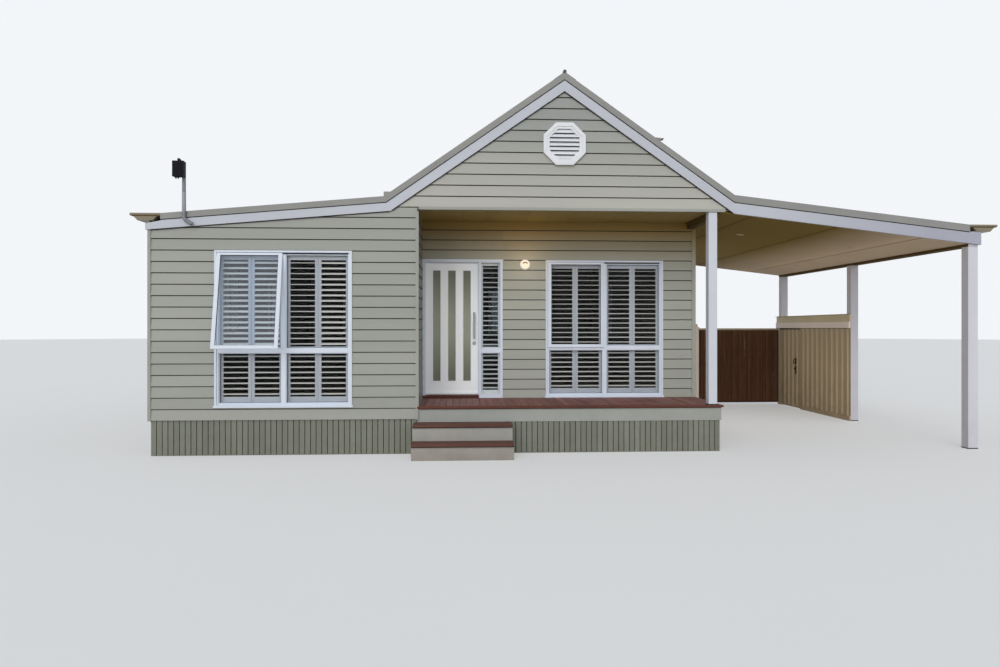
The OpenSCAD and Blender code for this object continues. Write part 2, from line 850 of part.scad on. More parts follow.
// Side beam over the posts, the end board of the carport and the porch beam
module carport_beams() {
    x1 = right_x - beam_inset;
    color(cream) {
        block([post_left_x, 0, side_beam_z], [post_x, carport_d, right_gutter_z]);
        along_y(carport_d, carport_d + end_board_t) polygon([
            [right_x, carport_under(right_x)], [post_x, carport_under(post_x)],
            [post_x, right_gutter_z], [right_edge_x, right_gutter_z],
            [right_edge_x, carport_seat(right_edge_x)],
            [kink_x - eave_board_t, carport_seat(kink_x - eave_board_t)],
            [right_x, main_seat(kink_x)]
        ]);
        block([x1 - porch_beam_w, porch_post_w, porch_beam_z], [x1, porch_d, porch_head_z]);
    }
}

module carport_posts() {
    color(white) for (y = [front_post_y, mid_post_y, rear_post_y]) {
        block([post_left_x, y, 0], [post_x, y + carport_post_w, side_beam_z]);
    }
}

// Plan of a ribbed sheet along Y, from y0 to y1, with its ribs towards -X
module ribbed_plan(y0, y1) {
    n = floor((y1 - y0) / rib_pitch);
    side = (y1 - y0 - n * rib_pitch) / 2;
    face = [for (i = [0 : n - 1]) let (y = y0 + side + i * rib_pitch) each [
        [0, y + 0.3 * rib_pitch], [-rib_d, y + 0.38 * rib_pitch],
        [-rib_d, y + 0.62 * rib_pitch], [0, y + 0.7 * rib_pitch]
    ]];
    ahead = concat([[0, y0]], face, [[0, y1]]);
    behind = [for (i = [len(ahead) - 1 : -1 : 0]) ahead[i] + [sheet_t, 0]];
    polygon(concat(ahead, behind));
}

// Ribbed sheet on the posts' inner faces with its foot rail, a board that covers
// the rear post, two capping boards, and the capped gate post
module side_screen() {
    color(cream) {
        translate([screen_x, 0, foot_rail_h]) linear_extrude(screen_h - foot_rail_h)
            ribbed_plan(mid_post_y, screen_end_y);
        block([screen_x - rib_d, mid_post_y, 0],
            [post_left_x, screen_end_y, foot_rail_h]);
        block([screen_x - rib_d, rear_post_y, 0], [post_left_x, carport_d, screen_h]);
        block([screen_x - rib_d - 8, mid_post_y, screen_h],
            [post_left_x, carport_d + cap_run, screen_h + cap_board_h]);
        block([screen_x - rib_d + 8, mid_post_y, screen_h + cap_board_h],
            [post_left_x, carport_d + cap_run, screen_h + 2 * cap_board_h]);
        union() {
            block([gate_post_x, gate_y - gate_post_w / 2, 0],
                [gate_post_x + gate_post_w, gate_y + gate_post_w / 2, screen_h + 15]);
            translate([gate_post_x + gate_post_w / 2, gate_y, screen_h + 55])
                sphere(r = 46, $fn = 32);
        }
    }
}

// Ribbed gate leaf with the straps of its hinges on its outer side
module side_gate() {
    y0 = side_gate_y - side_gate_w;
    color(cream) {
        translate([screen_x, 0, gate_lift]) linear_extrude(screen_h - 8 - gate_lift)
            ribbed_plan(y0, side_gate_y);
        for (z = gate_hinge_z) translate([side_gate_pin[0], side_gate_pin[1], z])
            rotate([0, 0, -90]) upper_knuckle(gate_knuckle_r, strap_l);
    }
}

// Latch plate with its pull, on the gate's first rib
module gate_latch() {
    n = floor(side_gate_w / rib_pitch);
    y0 = side_gate_y - side_gate_w + (side_gate_w - (n - 1) * rib_pitch) / 2;
    x0 = screen_x - rib_d;
    pull_z = 900;
    color([0.08, 0.08, 0.08]) {
        block([x0 - 8, y0 - 18, pull_z - 200], [x0, y0 + 18, pull_z + 160]);
        for (z = [pull_z, pull_z + 120]) {
            block([x0 - 45, y0 - 10, z], [x0 - 8, y0 + 10, z + 20]);
        }
        block([x0 - 57, y0 - 10, pull_z], [x0 - 45, y0 + 10, pull_z + 140]);
    }
}

// Brush panel leaf with the straps of its hinges
module rear_gate() {
    color(brush) {
        block([rear_gate_x, gate_y - brush_t / 2, gate_lift],
            [rear_gate_x + rear_gate_w, gate_y + brush_t / 2, screen_h]);
        for (z = gate_hinge_z) translate([rear_gate_pin[0], rear_gate_pin[1], z])
            upper_knuckle(gate_knuckle_r, strap_l);
    }
}

// Moving half of a hinge: a knuckle above the fixed one, with a plate along +X
module upper_knuckle(r, plate_l) {
    translate([0, 0, knuckle_h + knuckle_gap]) {
        cylinder(r = r, h = knuckle_h, $fn = 32);
        cube([plate_l, plate_t, knuckle_h]);
    }
}

// Fixed half of a hinge, with a plate that runs back along -X
module lower_knuckle(r, plate_l) {
    cylinder(r = r, h = knuckle_h, $fn = 32);
    translate([-plate_l, 0, 0]) cube([plate_l, plate_t, knuckle_h]);
}

// Fixed halves of the hinges of the front door and of both gates
module hinge_plates() {
    color([0.6, 0.6, 0.6]) {
        for (z = door_hinge_z) translate([door_pin[0], hinge_y, z]) door_hinge_half(false);
        for (z = gate_hinge_z) {
            translate([rear_gate_pin[0], rear_gate_pin[1], z])
                lower_knuckle(gate_knuckle_r, gate_gap / 2);
            translate([side_gate_pin[0], side_gate_pin[1], z]) rotate([0, 0, -90])
                lower_knuckle(gate_knuckle_r, gate_gap / 2);
        }
    }
}

// One half of a butt hinge on the door, drawn from the door's inner face
module door_hinge_half(moving) {
    translate([0, 0, moving ? knuckle_h + knuckle_gap : 0]) {
        translate([0, door_knuckle_r, 0])
            cylinder(r = door_knuckle_r, h = knuckle_h, $fn = 32);
        translate([moving ? 0 : -door_knuckle_r * 3, 0, 0])
            cube([door_knuckle_r * 3, plate_t, knuckle_h]);
    }
}

module rear_screen() {
    color(brush) block([right_x, gate_y - brush_t / 2, 0],
        [gate_post_x, gate_y + brush_t / 2, screen_h]);
}

// Frame of a big window with four panes, from its lower left corner
module big_window_frame() {
    difference() {
        translate([0, -frame_out, 0]) cube([window_w, frame_out + wall_t, window_h]);
        for (x = [frame_face, frame_face + pane_w + bar_face]) {
            translate([x, -frame_out - cut, frame_face])
                cube([pane_w, frame_out + wall_t + 2 * cut, low_pane_h]);
            translate([x, -frame_out - cut, high_pane_z])
                cube([pane_w, frame_out + wall_t + 2 * cut, high_pane_h]);
        }
    }
}

// Frame of a plain window with two panes
module plain_window_frame() {
    w = (side_window_w - 2 * frame_face - bar_face) / 2;
    difference() {
        translate([0, -frame_out, 0])
            cube([side_window_w, frame_out + wall_t, side_window_h]);
        for (x = [frame_face, frame_face + w + bar_face]) {
            translate([x, -frame_out - cut, frame_face])
                cube([w, frame_out + wall_t + 2 * cut, side_window_h - 2 * frame_face]);
        }
    }
}

// Awning sash in the upper left pane, hung from its top edge
module sash_at(angle) {
    translate([frame_face + sash_gap, -frame_out, high_pane_z + high_pane_h - sash_gap])
        rotate([-angle, 0, 0]) children();
}

module sash_ring() {
    difference() {
        translate([0, 0, -sash_h]) cube([sash_w, sash_d, sash_h]);
        translate([sash_face, -cut, sash_face - sash_h])
            cube([sash_w - 2 * sash_face, sash_d + 2 * cut, sash_h - 2 * sash_face]);
    }
}

module sash_pane() {
    translate([sash_face, (sash_d - glass_t) / 2, sash_face - sash_h])
        cube([sash_w - 2 * sash_face, glass_t, sash_h - 2 * sash_face]);
}

module window_frames() {
    color(white) {
        for (i = [0, 1]) {
            w = big_windows[i];
            translate([w[0], w[1], window_sill_z]) {
                big_window_frame();
                sash_at(i == 0 ? sash_angle : 0) sash_ring();
            }
        }
        for (w = plain_windows) {
            on_side(w[0], w[1], side_window_w)
                translate([0, 0, side_window_z]) plain_window_frame();
        }
    }
}

module window_glass() {
    w2 = (side_window_w - 2 * frame_face - bar_face) / 2;
    color(clear) {
        for (i = [0, 1]) {
            w = big_windows[i];
            translate([w[0], w[1], window_sill_z]) {
                for (x = [frame_face, frame_face + pane_w + bar_face]) {
                    translate([x, glass_y, frame_face]) cube([pane_w, glass_t, low_pane_h]);
                }
                translate([frame_face + pane_w + bar_face, glass_y, high_pane_z])
                    cube([pane_w, glass_t, high_pane_h]);
                sash_at(i == 0 ? sash_angle : 0) sash_pane();
            }
        }
        for (w = plain_windows, x = [frame_face, frame_face + w2 + bar_face]) {
            on_side(w[0], w[1], side_window_w)
                translate([x, glass_y, side_window_z + frame_face])
                    cube([w2, glass_t, side_window_h - 2 * frame_face]);
        }
        translate([sidelight_x, porch_d + glass_y, deck_z + sill_h]) {
            cube([sidelight_w, glass_t, sidelight_low_h]);
            translate([0, 0, sidelight_high_z])
                cube([sidelight_w, glass_t, sidelight_high_h]);
        }
    }
}

// One shutter panel with tilted blades held between its stiles
module shutter_panel(w, h) {
    n = floor((h - 2 * rail_h) / blade_pitch);
    start = (h - n * blade_pitch) / 2 + blade_pitch / 2;
    difference() {
        cube([w, shutter_t, h]);
        translate([stile_w, -cut, rail_h])
            cube([w - 2 * stile_w, shutter_t + 2 * cut, h - 2 * rail_h]);
    }
    for (i = [0 : n - 1]) {
        translate([stile_w, shutter_t / 2, start + i * blade_pitch])
            rotate([-blade_tilt, 0, 0])
                translate([0, -blade_w / 2, -blade_t / 2])
                    cube([w - 2 * stile_w, blade_w, blade_t]);
    }
}

// A pair of shutter panels that fills one pane
module shutter_pair(w, h) {
    shutter_panel(w / 2, h);
    translate([w / 2, 0, 0]) shutter_panel(w / 2, h);
}

module window_shutters() {
    color(white) {
        for (w = big_windows, x = [frame_face, frame_face + pane_w + bar_face]) {
            translate([w[0] + x, w[1] + shutter_y, window_sill_z]) {
                translate([0, 0, frame_face]) shutter_pair(pane_w, low_pane_h);
                translate([0, 0, high_pane_z]) shutter_pair(pane_w, high_pane_h);
            }
        }
        translate([sidelight_x, porch_d + shutter_y, deck_z + sill_h]) {
            shutter_panel(sidelight_w, sidelight_low_h);
            translate([0, 0, sidelight_high_z])
                shutter_panel(sidelight_w, sidelight_high_h);
        }
    }
}

// Frame round the door and the sidelight's two panes
module door_frame() {
    x1 = sidelight_x - frame_x;
    color(white) translate([frame_x, porch_d - frame_out, deck_z + sill_h]) difference() {
        cube([frame_w, jamb_d, frame_h - sill_h]);
        translate([jamb_face, -cut, -cut])
            cube([door_w + 2 * door_gap, jamb_d + 2 * cut, door_h + 2 * door_gap + cut]);
        translate([x1, -cut, -cut])
            cube([sidelight_w, jamb_d + 2 * cut, sidelight_low_h + cut]);
        translate([x1, -cut, sidelight_high_z])
            cube([sidelight_w, jamb_d + 2 * cut, sidelight_high_h]);
    }
}

// Places of the three glass strips in the leaf
module door_strips(depth, from) {
    for (i = [-1, 0, 1]) {
        translate([door_w / 2 + i * strip_pitch - strip_w / 2, from, strip_foot])
            cube([strip_w, depth, strip_h]);
    }
}

module front_door() {
    color(white) {
        translate([door_x, hinge_y - door_t, door_z]) difference() {
            cube([door_w, door_t, door_h]);
            door_strips(door_t + 2 * cut, -cut);
        }
        for (z = door_hinge_z) translate([door_pin[0], hinge_y, z]) door_hinge_half(true);
    }
}

module door_glass() {
    color(clear) translate([door_x, hinge_y - door_t, door_z])
        door_strips(glass_t, (door_t - glass_t) / 2);
}

// Long pull handle on two standoffs
module door_handle() {
    low_z = door_z + handle_low;
    x = door_x + door_w - 62;
    y = hinge_y - door_t;
    color([0.6, 0.6, 0.6]) {
        translate([x, y - handle_out, low_z]) cylinder(d = handle_d, h = handle_l, $fn = 32);
        for (z = [low_z + 60, low_z + handle_l - 60]) {
            translate([x, y, z]) rotate([90, 0, 0])
                cylinder(d = handle_d * 0.6, h = handle_out, $fn = 24);
        }
    }
}

// Octagonal frame with sloping blades, each cut to the octagon's inner outline
module gable_vent() {
    clear_w = vent_w - 2 * vent_face;
    pitch = clear_w / vent_blades;
    color(white) translate([0, 0, vent_z]) {
        along_y(-vent_d, 0) difference() {
            octagon(vent_w);
            octagon(clear_w);
        }
        intersection() {
            along_y(-vent_d, 0) octagon(clear_w);
            for (i = [0 : vent_blades - 1]) {
                z = (i + 0.5) * pitch - clear_w / 2;
                translate([-clear_w / 2, -vent_d / 2, z]) rotate([-42, 0, 0])
                    translate([0, -pitch * 0.36, -3]) cube([clear_w, pitch * 0.72, 6]);
            }
        }
    }
}

// Galvanised mast whose foot bends to the right and ends open over the barge board
module service_mast() {
    top_z = wing_top(mast_x) + mast_rise;
    low_z = mast_foot_z + mast_bend_r;
    color([0.6, 0.62, 0.64]) translate([mast_x, mast_y, 0]) difference() {
        union() {
            translate([0, 0, low_z]) cylinder(d = mast_d, h = top_z - low_z, $fn = 32);
            translate([mast_bend_r, 0, low_z]) rotate([90, 0, 0]) rotate([0, 0, 180])
                rotate_extrude(angle = 90, $fn = 64)
                    translate([mast_bend_r, 0]) circle(d = mast_d, $fn = 32);
            translate([mast_bend_r, 0, mast_foot_z]) rotate([0, 90, 0])
                cylinder(d = mast_d, h = mast_end_l, $fn = 32);
        }
        translate([mast_bend_r + cut, 0, mast_foot_z]) rotate([0, 90, 0])
            cylinder(d = mast_d - 2 * gutter_t, h = mast_end_l, $fn = 32);
    }
}

module mast_box() {
    top_z = wing_top(mast_x) + mast_rise;
    color([0.08, 0.08, 0.1])
        block([mast_x - mast_box_w + 30, mast_y - mast_d / 2 - 70, top_z - mast_box_h],
            [mast_x + 30, mast_y - mast_d / 2, top_z]);
}

placed() wing_front_wall();
placed() left_side_wall();
placed() porch_return_wall();
placed() porch_wall();
placed() wall_over_door();
placed() right_side_wall();
placed() back_wall();
placed() gable_wall();
placed() floor_slab();  // floor
placed() stumps();
placed() front_slats();
placed() side_slats();
placed() porch_deck();
placed() deck_fascia();
placed() step_treads();
placed() step_risers();
placed() porch_ceiling();
placed() porch_post();
placed() porch_light();
placed() main_roof_left();
placed() main_roof_right();
placed() wing_roof();
placed() carport_roof();
placed() ridge_cap();
placed() front_barge_board();
placed() back_barge_board();
placed() verge_capping();
placed() gutters();
placed() carport_ceiling();
placed() carport_beams();
placed() carport_posts();
placed() side_screen();
placed() side_gate();
placed() gate_latch();
placed() rear_gate();
placed() rear_screen();
placed() hinge_plates();
placed() window_frames();
placed() window_glass();
placed() window_shutters();
placed() door_frame();
placed() front_door();
placed() door_glass();
placed() door_handle();
placed() gable_vent();
placed() service_mast();
placed() mast_box();
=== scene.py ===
import random
from math import cos, floor, hypot, pi, radians, sin, tan

import bmesh
import bpy
from mathutils import Matrix, Vector


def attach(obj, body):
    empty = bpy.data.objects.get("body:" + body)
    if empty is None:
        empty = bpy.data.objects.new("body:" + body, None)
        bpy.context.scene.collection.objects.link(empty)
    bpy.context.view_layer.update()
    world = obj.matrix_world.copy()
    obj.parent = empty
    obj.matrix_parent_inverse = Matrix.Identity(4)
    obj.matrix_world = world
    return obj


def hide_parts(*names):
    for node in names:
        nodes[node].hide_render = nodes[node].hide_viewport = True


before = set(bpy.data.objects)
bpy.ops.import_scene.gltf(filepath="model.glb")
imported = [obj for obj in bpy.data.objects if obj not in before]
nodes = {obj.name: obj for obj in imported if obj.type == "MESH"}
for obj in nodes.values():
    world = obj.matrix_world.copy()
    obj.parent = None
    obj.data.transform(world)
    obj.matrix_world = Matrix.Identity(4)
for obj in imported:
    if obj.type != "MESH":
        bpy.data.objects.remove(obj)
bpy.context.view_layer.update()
rnd = random.Random(7)

# House coordinates: X from the ridge line, Y from the front wall's face, Z up.
# This is their zero in the shared frame
OX, OY = -0.166, -4.40175
# Left wall, wing's inner corner, right wall, and knees where the low roofs start
LX, WX, RX, KX = -5.485, -1.985, 2.165, 2.335
# Depths of the house, the porch and the carport
HD, PD, CD = 9.3, 1.17, 6.0
# Levels of the deck, the lowest board, the porch ceiling and the knees
DZ, BZ, PHZ, KZ = 0.635, 0.47, 3.292, 3.25
# Falls of the main, wing and carport roofs and of the carport ceiling
T35, T49, T65, T66 = (tan(radians(a)) for a in (35, 4.9, 6.5, 6.6))
C35, C49 = (cos(radians(a)) for a in (35, 4.9))
# Upright depths of the barge boards and of the roofs above them
MB, WB, MR, WR = 0.128 / C35, 0.12 / C49, 0.08 / C35, 0.08 / C49
# Where the wing roof meets the main roof, underneath and on top
JS = KX + (MB - WB) / (T35 - T49)
JT = KX + (MB + MR - WB - WR) / (T35 - T49)
# Outer edges of the low roofs, top of the ridge, and the carport posts' two sides
LE, RE = -5.33, 5.662
RIDGE = KZ + KX * T35 + MB + MR
PX0, PX1 = 5.67, 5.81


def main_under(x):
    return KZ + (KX - abs(x)) * T35


def wing_under(x):
    return KZ - (-x - KX) * T49


def carport_under(x):
    return KZ - (x - KX) * T66


def turns(n):
    """Angles of n equal steps round a circle."""
    return [2 * pi * i / n for i in range(n)]


def new_object(name, data):
    o = bpy.data.objects.new(name, data)
    bpy.context.scene.collection.objects.link(o)
    return o


# Camera as solved from the photograph
cam_data = bpy.data.cameras.new("camera")
cam_data.lens = 25.79
cam_data.sensor_width = 36
cam_data.shift_y = -0.00505
cam_data.clip_end = 300
cam = new_object("camera", cam_data)
cam.location = (OX - 1.373, OY - 9.644, 1.682)
cam.rotation_euler = (radians(90), 0, radians(-2.97))
bpy.context.scene.camera = cam
bpy.context.scene.view_settings.view_transform = "Standard"


# Materials
def lin(c):
    return ((c + 0.055) / 1.055) ** 2.4 if c > 0.04045 else c / 12.92


def rgb(c, k=1.0):
    return tuple(min(1.0, lin(v) * k) for v in c) + (1,)


class Tree:
    """Shader nodes of one material or of the world."""

    def __init__(self, tree):
        self.tree = tree

    def feed(self, node, at):
        """Link each named socket of a node to another's output, or set it."""
        for k, v in at.items():
            if isinstance(v, bpy.types.NodeSocket):
                self.tree.links.new(v, node.inputs[k])
            else:
                node.inputs[k].default_value = v
        return node

    def node(self, kind, at=None, **props):
        n = self.tree.nodes.new("ShaderNode" + kind)
        for k, v in props.items():
            setattr(n, k, v)
        return self.feed(n, at or {})

    def math(self, op, *vals):
        return self.node("Math", dict(enumerate(vals)), operation=op).outputs[0]

    def remap(self, value, a, b, c=0.0, d=1.0):
        return self.node("MapRange", {0: value, 1: a, 2: b, 3: c, 4: d}).outputs[0]

    def mix(self, fac, a, b, blend="MIX"):
        n = self.node("Mix", {0: fac, 6: a, 7: b}, data_type="RGBA", blend_type=blend)
        return n.outputs[2]

    def mix_shaders(self, fac, a, b):
        return self.node("MixShader", {0: fac, 1: a.outputs[0], 2: b.outputs[0]}).outputs[0]

    def place(self, scale=(1, 1, 1)):
        co = self.node("TexCoord").outputs["Object"]
        return self.node("Mapping", {"Vector": co, "Scale": scale}).outputs[0]

    def axis(self, i):
        """Object coordinate along one axis."""
        return self.node("SeparateXYZ", {0: self.node("TexCoord").outputs["Object"]}).outputs[i]

    def noise(self, where, size, detail=4.0, rough=0.55):
        at = {"Vector": where, "Scale": size, "Detail": detail, "Roughness": rough}
        return self.node("TexNoise", at).outputs[0]

    def shade(self, color, spread):
        """Colour with a shade of its own for each board."""
        rand = self.node("NewGeometry").outputs["Random Per Island"]
        k = self.remap(rand, 0, 1, 1 - spread, 1 + spread)
        grey = self.node("CombineColor", {0: k, 1: k, 2: k}).outputs[0]
        return self.mix(1.0, color, grey, "MULTIPLY")

    def bump(self, strength, distance, height):
        at = {"Strength": strength, "Distance": distance, "Height": height}
        return self.node("Bump", at).outputs[0]


def new_material(name):
    m = bpy.data.materials.new(name)
    m.use_nodes = True
    m.node_tree.nodes.clear()
    t = Tree(m.node_tree)
    t.skin = t.node("BsdfPrincipled")
    t.out = t.node("OutputMaterial", {"Surface": t.skin.outputs[0]})
    return m, t


def finish(name, color, rough=0.5, var=0.06, island=0.05, size=1.5, grain=(1, 1, 1), bump=0.12,
           fine=120, metal=0.0, splash=0.0, coat=0.0, painted_porch_tint=0.0, spec=0.5, fade=None):
    """Painted, coated or timber surface: mottled colour, a shade of its own for
    each board, fine bumps along the grain, and dirt low on the walls. The porch
    tint paints shade and the porch lamp's warm light into the colour, stronger
    towards the porch ceiling. fade is an axis, where it starts and ends, and the
    tones there."""
    m, t = new_material(name)
    place = t.place(grain)
    big = t.noise(place, size)
    small = t.noise(place, fine, 3.0, 0.6)
    a = t.mix(t.remap(big, 0.3, 0.7), rgb(color, 1 - var), rgb(color, 1 + var))
    a = t.shade(a, island)
    if splash:
        low = t.remap(t.axis(2), 0.0, 0.9, splash, 0.0)
        blotch = t.remap(t.noise(t.place((3, 3, 3)), 2.2), 0.35, 0.7, 0.3, 1.4)
        a = t.mix(t.math("MULTIPLY", low, blotch), a, rgb((0.40, 0.33, 0.25)))
    if painted_porch_tint:
        # Painted shade and lamp warmth, growing towards the porch ceiling
        high = t.math("POWER", t.remap(t.axis(2), 2.5, 3.2), 1.6)
        a = t.mix(t.math("MULTIPLY", high, painted_porch_tint), a, (0.85, 0.53, 0.11, 1), "MULTIPLY")
    if fade:
        axis, start, end, first, last = fade
        tone = t.mix(t.remap(t.axis(axis), start, end), first + (1,), last + (1,))
        a = t.mix(1.0, a, tone, "MULTIPLY")
    height = t.math("ADD", small, t.math("MULTIPLY", big, 1.5))
    t.skin.inputs["Base Color"].default_value = rgb(color)
    t.feed(t.skin, {"Base Color": a, "Metallic": metal, "Coat Weight": coat, "Specular IOR Level": spec,
                    "Roughness": t.remap(small, 0.3, 0.7, rough - 0.07, rough + 0.07),
                    "Normal": t.bump(bump, 0.003, height)})
    return m


def timber(name, dark, light, along, rough=0.6, size=9.0, island=0.16):
    """Oiled boards with grain along one axis (0, 1 or 2)."""
    m, t = new_material(name)
    scale = [1.0, 1.0, 1.0]
    scale[along] = 0.07
    rand = t.node("NewGeometry").outputs["Random Per Island"]
    co = t.node("TexCoord").outputs["Object"]
    off = t.node("CombineXYZ", {0: t.math("MULTIPLY", rand, 7.0), 1: t.math("MULTIPLY", rand, 5.0)})
    co = t.node("VectorMath", {0: co, 1: off.outputs[0]}, operation="ADD").outputs[0]
    place = t.node("Mapping", {"Vector": co, "Scale": scale}).outputs[0]
    broad = t.noise(place, size, 5.0, 0.6)
    thin = t.noise(place, size * 9, 4.0, 0.65)
    fac = t.math("ADD", t.math("MULTIPLY", broad, 0.65), t.math("MULTIPLY", thin, 0.35))
    a = t.mix(t.remap(fac, 0.35, 0.65), rgb(dark), rgb(light))
    t.feed(t.skin, {"Base Color": t.shade(a, island), "Normal": t.bump(0.35, 0.002, thin),
                    "Roughness": t.remap(thin, 0.3, 0.7, rough - 0.12, rough + 0.12)})
    return m


def clear_glass(name, low, clear=(0.985, 0.99, 0.99)):
    """Pane whose two faces each mirror the share low when seen straight on."""
    m, t = new_material(name)
    t.tree.nodes.remove(t.skin)
    wave = t.bump(0.05, 0.002, t.noise(t.place(), 2.5, 1.0))
    shine = t.node("BsdfGlossy", {"Color": (0.92, 0.95, 1.0, 1), "Roughness": 0.015, "Normal": wave})
    through = t.node("BsdfTransparent", {"Color": clear + (1,)})
    facing = t.node("LayerWeight", {"Blend": 0.5}).outputs["Facing"]
    fac = t.math("MULTIPLY_ADD", t.math("POWER", facing, 5.0), 1.0 - low, low)
    t.feed(t.out, {"Surface": t.mix_shaders(fac, through, shine)})
    return m


def frosted(name):
    """Door glass with a paler cloud at eye height, a painted reflection."""
    m, t = new_material(name)
    mid = t.math("ABSOLUTE", t.math("SUBTRACT", t.axis(2), 1.72))
    cloud = t.math("MULTIPLY", t.noise(t.place((1, 1, 0.5)), 5.0, 3.0), 0.25)
    pale = t.math("ADD", t.remap(mid, 0.15, 0.75, 0.85, 0.1), cloud)
    pit = t.noise(t.place(), 220.0, 2.0)
    t.feed(t.skin, {"Base Color": t.mix(pale, rgb((0.36, 0.365, 0.29)), rgb((0.60, 0.61, 0.54))),
                    "Roughness": 0.22, "Normal": t.bump(0.12, 0.001, pit)})
    return m


def glow(name, color, strength):
    """Cover of a lamp that is lit."""
    m, t = new_material(name)
    a = t.mix(t.noise(t.place(), 30.0), rgb(color, 0.9), rgb(color))
    t.feed(t.skin, {"Base Color": rgb(color, 0.45), "Emission Color": a, "Emission Strength": strength,
                    "Roughness": 0.4})
    return m


